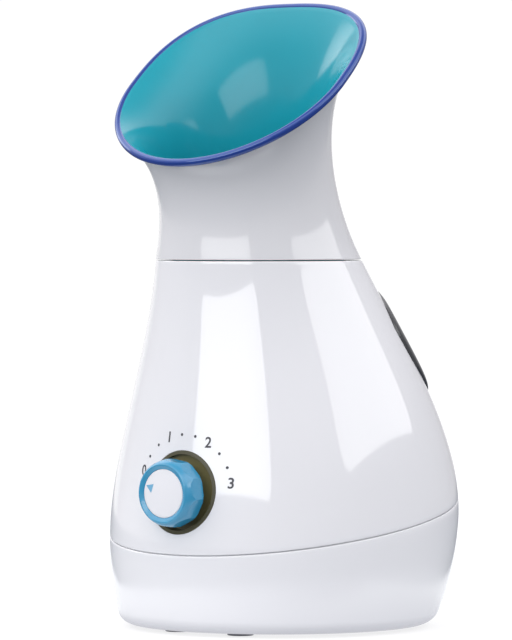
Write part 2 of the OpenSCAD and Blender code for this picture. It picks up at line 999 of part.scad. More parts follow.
module finger_scoop(grow) {
    translate([-scoop_w / 2 - grow, scoop_y, scoop_z])
        rotate([0, 90, 0])
            cylinder(r = scoop_r + grow, h = scoop_w + 2 * grow);
}

// smoked tank, flat inside and following the housing outside
module tank_shell() {
    low = tank_z - tank_half_h - 6;
    high = tank_z + tank_half_h + 6;
    color("dimgray")
    difference() {
        intersection() {
            tank_prism(0, tank_y, tank_y + 90);
            outline_solid(low, high, -tank_proud, 8);
        }
        difference() {
            intersection() {
                tank_prism(-tank_wall, tank_y + tank_wall, tank_y + 90);
                outline_solid(low, high, tank_wall - tank_proud, 8);
            }
            finger_scoop(tank_wall);
        }
        finger_scoop(0);
        valve_axis()
            along_y(tank_y - 1, tank_y + tank_wall + 1, cap_hole_r);
    }
}

// niche that takes the tank, inside the housing
module tank_bay() {
    color("whitesmoke")
    difference() {
        intersection() {
            tank_prism(tank_gap + bay_wall, bay_floor_y, bay_floor_y + 90);
            skin([for (k = [0 : 10]) inner(k / 10, wall + clear)], false);
        }
        tank_prism(tank_gap, bay_floor_y + bay_wall, bay_floor_y + 92);
        valve_axis()
            along_y(bay_floor_y - 1, tank_y, cap_flange_r + 1);
    }
}

module valve_axis() {
    translate([0, 0, valve_z])
        children();
}

function hose_mid_z() = (lid_z + lid_rise / 2 + valve_z - dock_r) / 2 + 2;

// socket behind the niche, with the pin that opens the valve and a nipple downwards
module tank_dock() {
    color("gainsboro")
    difference() {
        union() {
            valve_axis() {
                along_y(dock_floor_y - 2, bay_floor_y, dock_r);
                along_y(bay_floor_y - 2, bay_floor_y, dock_flange_r);
            }
            translate([0, nipple_y, hose_mid_z() + 0.5])
                cylinder(r = nipple_r, h = valve_z - dock_bore_r - hose_mid_z());
        }
        valve_axis()
            difference() {
                along_y(dock_floor_y, bay_floor_y + 1, dock_bore_r);
                along_y(dock_floor_y - 1, stem_y - running, pin_r);
            }
        translate([0, nipple_y, hose_mid_z() - 1])
            cylinder(r = nipple_bore, h = valve_z - hose_mid_z() - 3);
    }
}

// short hose between dock and boiler
module feed_hose() {
    top = valve_z - dock_r - 0.6;
    color("lightgray")
    translate([0, nipple_y, 0])
        tube(hose_r, hose_bore, hose_mid_z() - 4.5, top);
}

// bayonet cap with the valve seat; its nose enters the dock
module tank_cap() {
    flange_y = bay_floor_y + clear;
    plug_end = tank_y + cap_plug_l;
    groove_y = nose_y + 3;
    color("white")
    valve_axis()
        difference() {
            union() {
                along_y(flange_y, tank_y - slip, cap_flange_r);
                along_y(nose_y, flange_y + 1, nose_r);
                along_y(flange_y, plug_end, cap_hole_r - running);
            }
            along_y(nose_y - 1, tank_y - 1, cap_bore_r);
            along_y(tank_y - 1 + web_t, plug_end + 1, cap_bore_r);
            along_y(nose_y, plug_end, stem_r + running);
            for (a = [0 : 120 : 240])
                rotate([0, a, 0])
                    translate([2.5, 0, 0])
                        along_y(nose_y, plug_end, 0.9);
            for (a = [0 : 30 : 330])
                rotate([0, a, 0])
                    translate([cap_flange_r + 0.6, 0, 0])
                        along_y(flange_y - 1, tank_y + 1, 1.4);
            translate([0, groove_y, 0])
                rotate([90, 0, 0])
                    rotate_extrude()
                        translate([seal_ring_r, 0])
                            circle(r = seal_r + slip);
        }
}

// ring on the nose that seals in the dock
module nose_seal() {
    color("orangered")
    valve_axis()
        translate([0, nose_y + 3, 0])
            rotate([90, 0, 0])
                rotate_extrude()
                    translate([seal_ring_r, 0])
                        circle(r = seal_r);
}

// stem with foot and sealing head, held open by the pin while docked
module valve_plunger() {
    head_y = tank_y + cap_plug_l + valve_open;
    color("slategray")
    valve_axis() {
        along_y(stem_y, stem_y + 1, foot_flange_r);
        along_y(stem_y + 0.5, head_y + 1, stem_r);
        along_y(head_y, head_y + head_t, head_r);
    }
}

// closing spring between the cap's web and the stem's foot
module valve_spring() {
    turns = 3;
    per_turn = 10;
    gauge = 0.35;
    coil_mid_r = 2.3;
    y0 = stem_y + 1 + gauge + slip;
    y1 = tank_y - 1 - gauge - slip;
    rows = turns * per_turn;
    path = [
        for (k = [0 : rows])
            let (a = 360 * k / per_turn)
            [coil_mid_r * cos(a), lerp(y0, y1, k / rows), coil_mid_r * sin(a)]
    ];
    color("silver")
    valve_axis()
        wire(path, gauge, [0, 1, 0]);
}

// MAINS SOCKET

// two-pin appliance socket in the back of the base
module mains_inlet() {
    back = inlet_y + inlet_d;
    color("black")
    translate([0, 0, inlet_z])
        difference() {
            intersection() {
                translate([-inlet_w / 2, inlet_y, -inlet_h / 2])
                    cube([inlet_w, inlet_d + 8, inlet_h]);
                translate([0, 0, -inlet_z])
                    outline_solid(inlet_z - inlet_h / 2 - 4, inlet_z + inlet_h / 2 + 4, -0.4, 4);
            }
            for (side = [-1, 1])
                translate([side * (inlet_slot_w - inlet_slot_h) / 2, 0, 0])
                    along_y(back - inlet_slot_d, back + 10, inlet_slot_h / 2);
            translate([-(inlet_slot_w - inlet_slot_h) / 2, back - inlet_slot_d, -inlet_slot_h / 2])
                cube([inlet_slot_w - inlet_slot_h, inlet_slot_d + 10, inlet_slot_h]);
            for (side = [-1, 1])
                translate([side * inlet_pin_x, 0, 0])
                    along_y(inlet_y - 1, back, inlet_pin_r + slip);
        }
}

module inlet_pins() {
    back = inlet_y + inlet_d;
    color("silver")
    translate([0, 0, inlet_z])
        for (side = [-1, 1])
            translate([side * inlet_pin_x, 0, 0])
                along_y(inlet_y - 5, back - 2.5, inlet_pin_r);
}

// LEADS

// from the socket's pins to the board
module mains_leads() {
    start_y = inlet_y - 5.1;
    board_back = board_y + board_d / 2 - 5;
    color("brown")
    for (side = [-1, 1])
        lead(
            [side * inlet_pin_x, start_y, inlet_z], [side * 4, -24, 0],
            [0, 0, 16], [side * 9, board_back, board_z + board_t + 0.1]
        );
}

// from the element's cold pins to the board
module heater_leads() {
    pin_x = coil_ring_r * sin(cold_pin_angle);
    pin_y = steam_y + coil_ring_r * cos(cold_pin_angle);
    color("brown")
    for (side = [-1, 1])
        lead(
            [side * pin_x, pin_y, boiler_z - heater_t - cold_pin_l - 0.1], [0, 0.5, -8],
            [0, 0.5, 8], [side * pin_x, pin_y - 1, board_z + board_t + 0.1]
        );
}

// from the switch's terminals past the boiler stand to the board
module switch_leads() {
    tab_y = well_floor_y + well_floor_t + switch_d + 1.5;
    board_front = board_y - board_d / 2 + 3;
    pass_y = min(tab_y, steam_y - stand_out_r - lead_r - clear);
    pass_z = boiler_z - stand_ring_t;
    color("brown")
    for (x = [-6, 0, 6])
        wire(concat(
            bend([x, tab_y, knob_z - 4.1], [0, 0, -10], [0, 0, 5], [x, pass_y, pass_z]),
            bend(
                [x, pass_y, pass_z], [0, 0, -12],
                [0, 0, 14], [x, board_front, board_z + board_t + 0.1], 1)
        ), lead_r, [1, 0, 0]);
}

base_shell();
rubber_feet();
body_shell();
collar_deck();
steam_guard();
hood_shell();
hood_liner();
hood_rim();
boiler_cup();
boiler_gasket();
boiler_lid();
boiler_screws();
heater_plate();
heating_element();
thermostat();
boiler_stand();
stand_screws();
steam_duct();
control_board();
board_posts();
board_relay();
board_transformer();
board_capacitors();
knob_bezel();
rotary_switch();
switch_nut();
switch_shaft();
knob_grip();
knob_face();
knob_pointer();
tank_shell();
tank_bay();
tank_dock();
feed_hose();
tank_cap();
nose_seal();
valve_plunger();
valve_spring();
mains_inlet();
inlet_pins();
mains_leads();
heater_leads();
switch_leads();
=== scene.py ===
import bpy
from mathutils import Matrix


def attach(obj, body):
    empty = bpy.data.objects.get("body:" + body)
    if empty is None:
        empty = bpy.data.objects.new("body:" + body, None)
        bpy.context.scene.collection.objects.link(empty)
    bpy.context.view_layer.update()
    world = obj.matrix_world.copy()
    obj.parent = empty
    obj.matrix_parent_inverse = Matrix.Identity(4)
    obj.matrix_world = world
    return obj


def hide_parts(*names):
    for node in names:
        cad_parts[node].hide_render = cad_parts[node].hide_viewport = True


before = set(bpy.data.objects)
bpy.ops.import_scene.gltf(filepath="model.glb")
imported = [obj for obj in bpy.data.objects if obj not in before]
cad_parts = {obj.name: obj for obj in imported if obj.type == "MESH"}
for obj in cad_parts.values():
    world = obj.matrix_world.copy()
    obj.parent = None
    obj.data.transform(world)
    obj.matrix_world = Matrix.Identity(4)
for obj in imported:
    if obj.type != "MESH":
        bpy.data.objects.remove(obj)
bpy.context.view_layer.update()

from math import asin, atan2, copysign, cos, pi, radians, sin, sqrt, tan, tau

import bmesh
import bpy
from bmesh.types import BMEdge, BMVert
from mathutils import Matrix, Vector

# base cup
# Lower cup of the housing, injection moulded in glossy white ABS. Its floor carries
# boiler and board, a lip inside centres the housing, and a window behind takes the socket.

MM = 0.001
foot_h, foot_edge_r, floor_t = 1.6, 6.0, 2.5
wall, lip_h, lip_in = 2.5, 5.0, 1.25
shoulder_z, collar_z = 54.0, 176.0
part_z, part_tilt, joint_edge_r = 51.6, radians(9.85), 0.45
part_rise = tan(part_tilt)
socket_w, socket_h, socket_d, socket_z, socket_gap = 24.0, 16.0, 36.0, 24.0, 0.2
shell_around, foot_edge_steps, joint_edge_steps = 240, 12, 4
base_outer_steps, base_inner_steps = 26, 10
circle = 2.0
# distance from the axis and slope there, at foot, shoulder and collar
front_line = ((75.6, 0.177), (78.3, -0.097), (64.6, 0.04))
back_line = ((73.4, 0.535), (88.6, 0.087), (33.8, -0.68))


def between(start, end, share):
    return start + (end - start) * share


def outline(line, z):
    """Distance of the housing's front or back line from the axis at height z."""
    foot, shoulder, collar = line
    if z < shoulder_z:
        low, high, (start, start_lean), (end, end_lean) = 0.0, shoulder_z, foot, shoulder
    else:
        low, high, (start, start_lean), (end, end_lean) = shoulder_z, collar_z, shoulder, collar
    share = (z - low) / (high - low)
    rest = 1 - share
    swell = (high - low) * share * rest * (start_lean * rest - end_lean * share)
    return between(start, end, share**2 * (3 - 2 * share)) + swell


def hoop(front, back, half_width, form=circle):
    """Place of a unit circle between a front and a back point (y, z), and its back's form."""
    middle, chord = (front + back) / 2, (back - front) / 2
    across = Vector((half_width, 0, 0))
    along = Vector((0, chord.x, chord.y))
    placed = Matrix((across, along, across.cross(along).normalized())).transposed().to_4x4()
    placed.translation = (0, middle.x, middle.y)
    return placed, form


def station(z_front, z_back, inset):
    """Hoop on the housing's outline, from one height in front to another at the back."""
    front, back = outline(front_line, z_front), outline(back_line, z_back)
    return hoop(
        Vector((inset - front, z_front)),
        Vector((back - inset, z_back)),
        (front + back) / 2 - inset,
    )


def level(z, inset):
    return station(z, z, inset)


def joint_heights(up):
    """Front and back height of a plane parallel to the lower joint line, up mm above it."""
    z = part_z + up
    front = z - part_rise * outline(front_line, z - part_rise * front_line[1][0])
    back = z + part_rise * outline(back_line, z + part_rise * back_line[1][0])
    return front, back


def joint(up, inset):
    return station(*joint_heights(up), inset)


def rising(low, high, inset, steps):
    """Stations from one pair of heights to another, both ends included."""
    return [
        station(between(low[0], high[0], share), between(low[1], high[1], share), inset)
        for share in (step / steps for step in range(steps + 1))
    ]


def rounded(radius, steps):
    """Points of a rounded edge, as inset from the side and depth under the end, without the first."""
    turns = [pi / 2 * step / steps for step in range(1, steps + 1)]
    return [(radius * (1 - cos(turn)), radius * (1 - sin(turn))) for turn in turns]


def squared(part, form):
    """Sine or cosine on an outline of that form, 2 being a circle and more a squarer one."""
    return copysign(abs(part) ** (circle / form), part)


def only(kind, parts):
    return [part for part in parts if isinstance(part, kind)]


def grow(shape, edges):
    """Extrudes a loop of edges in place, and gives the new loop and its points."""
    grown = bmesh.ops.extrude_edge_only(shape, edges=edges)["geom"]
    points = only(BMVert, grown)
    fresh = set(points)
    return [edge for edge in only(BMEdge, grown) if fresh.issuperset(edge.verts)], points


def loft(hoops, closed):
    """Skin over a row of hoops; closed joins the last to the first, otherwise both are capped."""
    shape = bmesh.new()
    bmesh.ops.create_circle(
        shape, cap_ends=False, segments=shell_around, radius=1.0, matrix=hoops[0][0]
    )
    first = loop = list(shape.edges)
    rows = [list(shape.verts)]
    for (before, _), (after, _) in zip(hoops, hoops[1:]):
        loop, points = grow(shape, loop)
        bmesh.ops.transform(shape, matrix=after @ before.inverted(), verts=points)
        rows.append(points)
    if closed:
        bmesh.ops.bridge_loops(shape, edges=first + loop)
    else:
        bmesh.ops.contextual_create(shape, geom=first)
        bmesh.ops.contextual_create(shape, geom=loop)
    for (placed, form), row in zip(hoops, rows):
        for vert in row if form > circle else ():
            spot = placed.inverted() @ vert.co
            if spot.y > 0:
                vert.co = placed @ Vector((squared(spot.x, form), squared(spot.y, form), 0))
    return shape


link = bpy.context.scene.collection.objects.link


def moulding(name, shape, finish, sharp=32):
    """Turns a mesh in millimetres into a piece in metres, smooth but for edges over sharp degrees."""
    bmesh.ops.transform(shape, matrix=Matrix.Scale(MM, 4), verts=shape.verts)
    bmesh.ops.recalc_face_normals(shape, faces=shape.faces)
    for face in shape.faces:
        face.smooth = True
    for edge in shape.edges:
        edge.smooth = edge.calc_face_angle(0.0) < radians(sharp)
    mesh = bpy.data.meshes.new(name)
    shape.to_mesh(mesh)
    shape.free()
    mesh.materials.append(finish)
    piece = bpy.data.objects.new(name, mesh)
    link(piece)
    return piece


class Value:
    """Output of a shader node. Arithmetic on it adds Math nodes."""

    def __init__(self, finish, socket):
        self.finish, self.socket = finish, socket

    def math(self, operation, first, second):
        return self.finish.add("ShaderNodeMath", {"operation": operation}, {0: first, 1: second})

    def __add__(self, other):
        return self.math("ADD", self, other)

    def __sub__(self, other):
        return self.math("SUBTRACT", self, other)

    def __rsub__(self, other):
        return self.math("SUBTRACT", other, self)

    def __mul__(self, other):
        return self.math("MULTIPLY", self, other)

    def __truediv__(self, other):
        return self.math("DIVIDE", self, other)

    def __rtruediv__(self, other):
        return self.math("DIVIDE", other, self)

    __radd__, __rmul__ = __add__, __mul__


class Finish:
    """A node tree under construction, of a material or of the studio's surroundings."""

    def __init__(self, owner):
        owner.use_nodes = True
        self.owner, self.tree = owner, owner.node_tree
        self.tree.nodes.clear()

    def add(self, kind, settings, inputs, output=0):
        """Adds a node: its settings first, then the values or links of its sockets."""
        node = self.tree.nodes.new(kind)
        for name, setting in settings.items():
            setattr(node, name, setting)
        for key, entry in inputs.items():
            if isinstance(entry, Value):
                self.tree.links.new(entry.socket, node.inputs[key])
            else:
                node.inputs[key].default_value = entry
        return Value(self, node.outputs[output]) if len(node.outputs) else None

    def place(self):
        return self.add("ShaderNodeTexCoord", {}, {}, "Object")

    def noise(self, scale, detail, stretch=(1.0, 1.0, 1.0)):
        """Noise on the piece's own coordinates, scale in cells per metre."""
        spot = self.add("ShaderNodeMapping", {}, {"Vector": self.place(), "Scale": stretch})
        return self.add(
            "ShaderNodeTexNoise", {}, {"Vector": spot, "Scale": scale, "Detail": detail}, "Fac"
        )

    def mix(self, amount, first, second):
        """Colour between two colours, through the Mix node's sockets for colour."""
        factor, colour_a, colour_b, result = 0, 6, 7, 2
        inputs = {factor: amount, colour_a: first, colour_b: second}
        return self.add("ShaderNodeMix", {"data_type": "RGBA"}, inputs, result)

    def fade(self, value, start, end, low=0.0, high=1.0):
        """Soft step from low to high while value runs from start to end."""
        return self.add(
            "ShaderNodeMapRange", {"interpolation_type": "SMOOTHSTEP"},
            {"Value": value, "From Min": start, "From Max": end, "To Min": low, "To Max": high},
        )

    def vector(self, operation, *inputs, output="Value"):
        return self.add(
            "ShaderNodeVectorMath", {"operation": operation}, dict(enumerate(inputs)), output
        )

    def bump(self, height, strength, depth):
        return self.add(
            "ShaderNodeBump", {}, {"Strength": strength, "Distance": depth, "Height": height}
        )

    def close(self, inputs):
        """Ends the material with its surface shader."""
        return self.end(self.add("ShaderNodeBsdfPrincipled", {}, inputs))

    def end(self, surface, output="ShaderNodeOutputMaterial"):
        self.add(output, {}, {"Surface": surface})
        return self.owner


def shade(colour, amount):
    """A colour made darker or lighter, for Base Color."""
    return (*(part * amount for part in colour[:3]), 1.0)


cloud_scale, cloud_detail, gloss_base, gloss_swing = 34.0, 3.0, 0.75, 0.5
grain_detail, grain_strength = 2.0, 0.25


def moulded(
    name, colour, roughness, clouding=0.02, grain=900.0, grain_depth=0.00002, specular=0.5, **extra
):
    """Moulded plastic: faint clouding of colour and gloss, and the tool's fine grain."""
    finish = Finish(bpy.data.materials.new(name))
    cloud = finish.noise(cloud_scale, cloud_detail)
    fine = finish.noise(grain, grain_detail)
    return finish.close({
        "Base Color": finish.mix(cloud, shade(colour, 1 - clouding), shade(colour, 1 + clouding)),
        "Roughness": roughness * gloss_base + cloud * (roughness * gloss_swing),
        "Normal": finish.bump(fine, grain_strength, grain_depth),
        "Specular IOR Level": specular,
        **extra,
    })


shell_white = (0.79, 0.795, 0.815)
polish = {"clouding": 0.008, "grain": 260.0, "grain_depth": 0.000003}
white_gloss = moulded("white_gloss", shell_white, roughness=0.055, specular=1.0, **polish)

floor_top, wall_foot = foot_h + floor_t, foot_h + foot_edge_r
inner_foot = floor_top + foot_edge_r - wall
base_rows = [
    level(foot_h + up, inset) for inset, up in reversed(rounded(foot_edge_r, foot_edge_steps))
]
base_rows += rising((wall_foot, wall_foot), joint_heights(-joint_edge_r), 0, base_outer_steps)
base_rows += [joint(-under, inset) for inset, under in rounded(joint_edge_r, joint_edge_steps)]
base_rows += [joint(0, lip_in), joint(lip_h, lip_in), joint(lip_h, wall)]
base_rows += rising(joint_heights(0), (inner_foot, inner_foot), wall, base_inner_steps)
base_rows += [level(floor_top, foot_edge_r)]


def carve(body, cutters):
    """Cuts closed meshes out of a mesh and returns the result."""
    solids = []
    for shape in (body, *cutters):
        bmesh.ops.recalc_face_normals(shape, faces=shape.faces)
        mesh = bpy.data.meshes.new("blank")
        shape.to_mesh(mesh)
        shape.free()
        solids.append(bpy.data.objects.new("blank", mesh))
        link(solids[-1])
    for cutter in solids[1:]:
        step = solids[0].modifiers.new("cut", "BOOLEAN")
        step.operation, step.solver, step.object = "DIFFERENCE", "EXACT", cutter
    bpy.context.view_layer.update()
    result = bmesh.new()
    result.from_mesh(solids[0].evaluated_get(bpy.context.evaluated_depsgraph_get()).data)
    for solid in solids:
        mesh = solid.data
        bpy.data.objects.remove(solid)
        bpy.data.meshes.remove(mesh)
    return result


socket_cut = bmesh.new()
socket_hole = Matrix.Diagonal((socket_w + 2 * socket_gap, socket_d, socket_h + 2 * socket_gap, 1.0))
socket_place = Matrix.Translation((0, outline(back_line, socket_z), socket_z))
bmesh.ops.create_cube(socket_cut, size=1.0, matrix=socket_place @ socket_hole)
base_mesh = carve(loft(base_rows, closed=False), (socket_cut,))
base_cup = moulding("base_cup", base_mesh, white_gloss)
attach(base_cup, "housing")
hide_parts("base_shell")

# feet and screws
# Four round pads of grey rubber glued into the floor, with a softened rim, and the
# three steel screws that come up through the floor into the boiler stand.

foot_r, foot_ring_r, foot_soft, foot_around = 6.2, 57.0, 0.45, 56
foot_angles = (19, 161, -161, -19)
corner_turn = 1.0


def cylinder(shape, radius, length, around, placed):
    bmesh.ops.create_cone(
        shape, cap_ends=True, segments=around, radius1=radius, radius2=radius, depth=length,
        matrix=placed,
    )


def corner_edges(shape):
    """Edges where two faces turn by more than corner_turn, in radians."""
    return [edge for edge in shape.edges if edge.calc_face_angle(0.0) > corner_turn]


def soften(shape, parts, radius, steps=3, affect="EDGES"):
    """Rounds edges, or the corners of a flat shape, to a radius."""
    bmesh.ops.bevel(
        shape, geom=list(parts), offset=radius, offset_type="OFFSET", segments=steps,
        profile=0.5, affect=affect, material=-1, clamp_overlap=True,
    )


feet_mesh = bmesh.new()
for degrees in foot_angles:
    angle = radians(degrees)
    spot = Vector((foot_ring_r * sin(angle), -foot_ring_r * cos(angle), foot_h / 2))
    cylinder(feet_mesh, foot_r, foot_h, foot_around, Matrix.Translation(spot))
soften(feet_mesh, corner_edges(feet_mesh), foot_soft)
rubber = moulded(
    "grey_rubber", (0.13, 0.135, 0.15), roughness=0.62, clouding=0.12, grain=1600.0, grain_depth=0.00006
)
feet = moulding("feet", feet_mesh, rubber)
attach(feet, "housing")
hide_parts("rubber_feet")

streak_detail, streak_dark, streak_light, streak_strength, streak_depth = 4.0, 0.86, 1.06, 0.2, 0.00003
metal_gloss_base, metal_gloss_swing = 0.7, 0.6


def metal(name, colour, roughness, stretch=(1.0, 1.0, 6.0), scale=420.0):
    """Bare metal with drawn or turned streaks in colour and gloss."""
    finish = Finish(bpy.data.materials.new(name))
    streak = finish.noise(scale, streak_detail, stretch)
    return finish.close({
        "Base Color": finish.mix(streak, shade(colour, streak_dark), shade(colour, streak_light)),
        "Metallic": 1.0,
        "Roughness": roughness * metal_gloss_base + streak * (roughness * metal_gloss_swing),
        "Normal": finish.bump(streak, streak_strength, streak_depth),
    })


def dress(finish, *nodes):
    """Gives a finish to CAD solids that stay as they are."""
    for node in nodes:
        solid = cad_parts[node].data
        solid.materials.clear()
        solid.materials.append(finish)


dress(metal("screw_steel", (0.62, 0.62, 0.6), 0.3), "stand_screws")

# boiler
# Drawn stainless cup with a flange, a red silicone gasket and a moulded lid screwed on.
# Under it a cast plate holds the tubular element and the thermostat, on a plastic stand.

drawn_steel = metal("drawn_steel", (0.66, 0.655, 0.64), 0.22, stretch=(1.0, 1.0, 9.0))
cast_aluminium = metal(
    "cast_aluminium", (0.55, 0.55, 0.56), 0.5, stretch=(1.0, 1.0, 1.0), scale=900.0
)
element_steel = metal("element_steel", (0.36, 0.35, 0.34), 0.35, stretch=(1.0, 1.0, 3.0))
dress(drawn_steel, "boiler_cup", "boiler_screws")
dress(cast_aluminium, "heater_plate")
dress(element_steel, "heating_element")
dress(moulded("silicone_red", (0.42, 0.045, 0.03), 0.5, 0.1), "boiler_gasket", "nose_seal")
dress(moulded("natural_plastic", (0.72, 0.7, 0.64), 0.38, 0.05), "boiler_lid", "boiler_stand")
dress(moulded("phenolic_brown", (0.09, 0.04, 0.02), 0.4, 0.15), "thermostat")
dress(moulded("silicone_clear", (0.66, 0.67, 0.68), 0.45, 0.06), "steam_duct", "feed_hose")

# control board
# Fibreglass board on four moulded posts, with relay, transformer and capacitors soldered
# on top, and sleeved leads to socket, heater and switch.

weave_scale, weave_detail, weave_stretch, weave_strength, weave_depth = 2600.0, 1.0, 0.25, 0.2, 0.00004
board_dark, board_light = (0.012, 0.1, 0.04, 1), (0.03, 0.2, 0.08, 1)
board_gloss_base, board_gloss_swing = 0.25, 0.3
board_finish = Finish(bpy.data.materials.new("board_green"))
warp = board_finish.noise(weave_scale, weave_detail, (1.0, weave_stretch, 1.0))
weft = board_finish.noise(weave_scale, weave_detail, (weave_stretch, 1.0, 1.0))
weave = warp * weft
board_green = board_finish.close({
    "Base Color": board_finish.mix(weave, board_dark, board_light),
    "Roughness": board_gloss_base + weave * board_gloss_swing,
    "Normal": board_finish.bump(weave, weave_strength, weave_depth),
})
dress(board_green, "control_board")
dress(moulded("post_plastic", (0.7, 0.69, 0.66), 0.42, 0.05), "board_posts")
dress(moulded("relay_blue", (0.02, 0.1, 0.42), 0.32, 0.08), "board_relay")
dress(moulded("coil_yellow", (0.62, 0.42, 0.06), 0.4, 0.12), "board_transformer")
dress(moulded("capacitor_sleeve", (0.015, 0.025, 0.1), 0.3, 0.1), "board_capacitors")
lead_sleeve = moulded("lead_sleeve", (0.16, 0.06, 0.03), 0.48, 0.12)
dress(lead_sleeve, "mains_leads", "heater_leads", "switch_leads")

# housing
# Upper housing, one glossy white moulding from the tilted joint line to the round collar.
# It has a round hole in front for the knob well and a soft oval one behind for the tank.

line_gap, lip_clear, lip_slip = 0.5, 1.0, 0.2
seat_in, seat_d, shelf_in, shelf_d = 1.2, 1.6, 4.2, 3.5
housing_outer_steps, housing_inner_steps = 84, 24
knob_z, well_r, well_fit, well_around = 67.5, 19.6, 0.1, 128
well_cut_in, well_cut_d = 5.0, 30.0
tank_half_w, tank_half_h, tank_taper, tank_drop, tank_form = 56.0, 30.5, 0.0039, 9.5, 3.0
tank_y, tank_gap, tank_cut_d, tank_cut_around = 20.0, 0.4, 90.0, 144
tank_z = collar_z - tank_drop - tank_half_h
housing_top = collar_z - line_gap / 2
shelf_z = housing_top - seat_d
face_y = -outline(front_line, knob_z)
facing_front = Matrix.Rotation(radians(90), 4, "X")


def tank_point(angle, out):
    """Point (x, z) on the tank's soft oval, or out mm outside it."""
    side, up = squared(cos(angle), tank_form), squared(sin(angle), tank_form)
    width = (tank_half_w + out) * (1 - tank_taper * up * tank_half_h)
    return width * side, tank_z + up * (tank_half_h + out)


def loop_edges(verts):
    """Edges at these points, each once and in the same order on every run."""
    return list(dict.fromkeys(edge for vert in verts for edge in vert.link_edges))


def tank_ring(shape, around, out, y):
    """Closed loop of edges on the tank's oval at one depth, with its angles where the mesh keeps them."""
    points = bmesh.ops.create_circle(shape, cap_ends=False, segments=around, radius=1.0)["verts"]
    kept_turn = shape.verts.layers.float.get("turn")
    for vert in points:
        turn = atan2(vert.co.y, vert.co.x)
        x, z = tank_point(turn, out)
        vert.co = (x, y, z)
        if kept_turn:
            vert[kept_turn] = turn
    return loop_edges(points)


soft_edge = rounded(joint_edge_r, joint_edge_steps)
low_edge = [joint(line_gap + up, inset) for inset, up in reversed(soft_edge)]
top_edge = [level(housing_top - under, inset) for inset, under in soft_edge]
wall_low = joint_heights(line_gap + joint_edge_r)
wall_high = (housing_top - joint_edge_r, housing_top - joint_edge_r)
under_shelf = (shelf_z - shelf_d, shelf_z - shelf_d)
lip_top, lip_face = lip_h + lip_clear, lip_in - lip_slip
housing_rows = low_edge + rising(wall_low, wall_high, 0, housing_outer_steps) + top_edge
housing_rows += [level(housing_top, seat_in), level(shelf_z, seat_in), level(shelf_z, shelf_in)]
housing_rows += rising(under_shelf, joint_heights(lip_top), wall, housing_inner_steps)
housing_rows += [joint(lip_top, lip_face), joint(line_gap, lip_face)]

well_cut = bmesh.new()
well_place = Matrix.Translation((0, face_y + well_cut_in, knob_z)) @ facing_front
cylinder(well_cut, well_r + well_fit, well_cut_d, well_around, well_place)
tank_cut = bmesh.new()
near_loop = tank_ring(tank_cut, tank_cut_around, tank_gap, tank_y)
far_loop, far_points = grow(tank_cut, near_loop)
bmesh.ops.translate(tank_cut, vec=(0, tank_cut_d, 0), verts=far_points)
bmesh.ops.contextual_create(tank_cut, geom=near_loop)
bmesh.ops.contextual_create(tank_cut, geom=far_loop)
housing_mesh = carve(loft(housing_rows, closed=True), (well_cut, tank_cut))
housing = moulding("housing", housing_mesh, white_gloss)
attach(housing, "housing")
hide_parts("body_shell")

# collar deck and steam guard
# Teal deck dropped into the collar, a shallow dish with a spout in its middle, and the
# round guard over the spout with a ring of steam holes, both glossy moulded plastic.

collar_front_r, collar_back_r = front_line[2][0], back_line[2][0]
steam_y, collar_r = (collar_back_r - collar_front_r) / 2, (collar_back_r + collar_front_r) / 2
deck_in, deck_t, dish_r, dish_d, deck_around = 1.5, 1.6, 41.5, 4.0, 144
deck_r, dish_floor = collar_r - deck_in, collar_z - dish_d
spout_r, spout_wall, spout_h, duct_r = 13.95, 2.0, 14.0, 16.0
corner_steps, weld = 5, 0.0005
upward, steam_axis = Vector((0, 0, 1)), Vector((0, steam_y, 0))
teal = moulded(
    "teal_gloss", (0.012, 0.325, 0.405), roughness=0.13, clouding=0.06, grain=700.0,
    grain_depth=0.000001, specular=0.4,
)


def turned(profile, centre, axis, around, rounding):
    """Spins a closed profile, points (radius, height) along axis, about a line through centre.

    Rounding pairs the place of a point in the profile with the radius of its corner.
    """
    shape = bmesh.new()
    corners = [shape.verts.new((radius, 0, height)) for radius, height in profile]
    for pair in zip(corners, corners[1:] + corners[:1]):
        shape.edges.new(pair)
    for index, radius in rounding:
        soften(shape, [corners[index]], radius, corner_steps, "VERTICES")
    bmesh.ops.spin(
        shape, geom=shape.verts[:] + shape.edges[:], cent=(0, 0, 0), axis=upward,
        angle=tau, steps=around, use_merge=True, use_duplicate=False,
    )
    bmesh.ops.remove_doubles(shape, verts=shape.verts, dist=weld)
    tilt = upward.rotation_difference(axis).to_matrix().to_4x4()
    bmesh.ops.transform(shape, matrix=Matrix.Translation(centre) @ tilt, verts=shape.verts)
    return shape


spout_in, spout_low, dish_under = spout_r - spout_wall, dish_floor - spout_h, dish_floor - deck_t
deck_profile = (
    (spout_in, spout_low), (spout_r, spout_low), (spout_r, dish_under),
    (dish_r + deck_t, dish_under), (dish_r + deck_t, shelf_z), (deck_r, shelf_z),
    (deck_r, housing_top), (dish_r, housing_top), (dish_r, dish_floor), (spout_in, dish_floor),
)
deck_rounding = ((6, 0.4), (7, 0.6), (8, 1.2), (9, 0.8))
deck_mesh = turned(deck_profile, steam_axis, upward, deck_around, deck_rounding)
deck = moulding("deck", deck_mesh, teal)
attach(deck, "housing")
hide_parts("collar_deck")

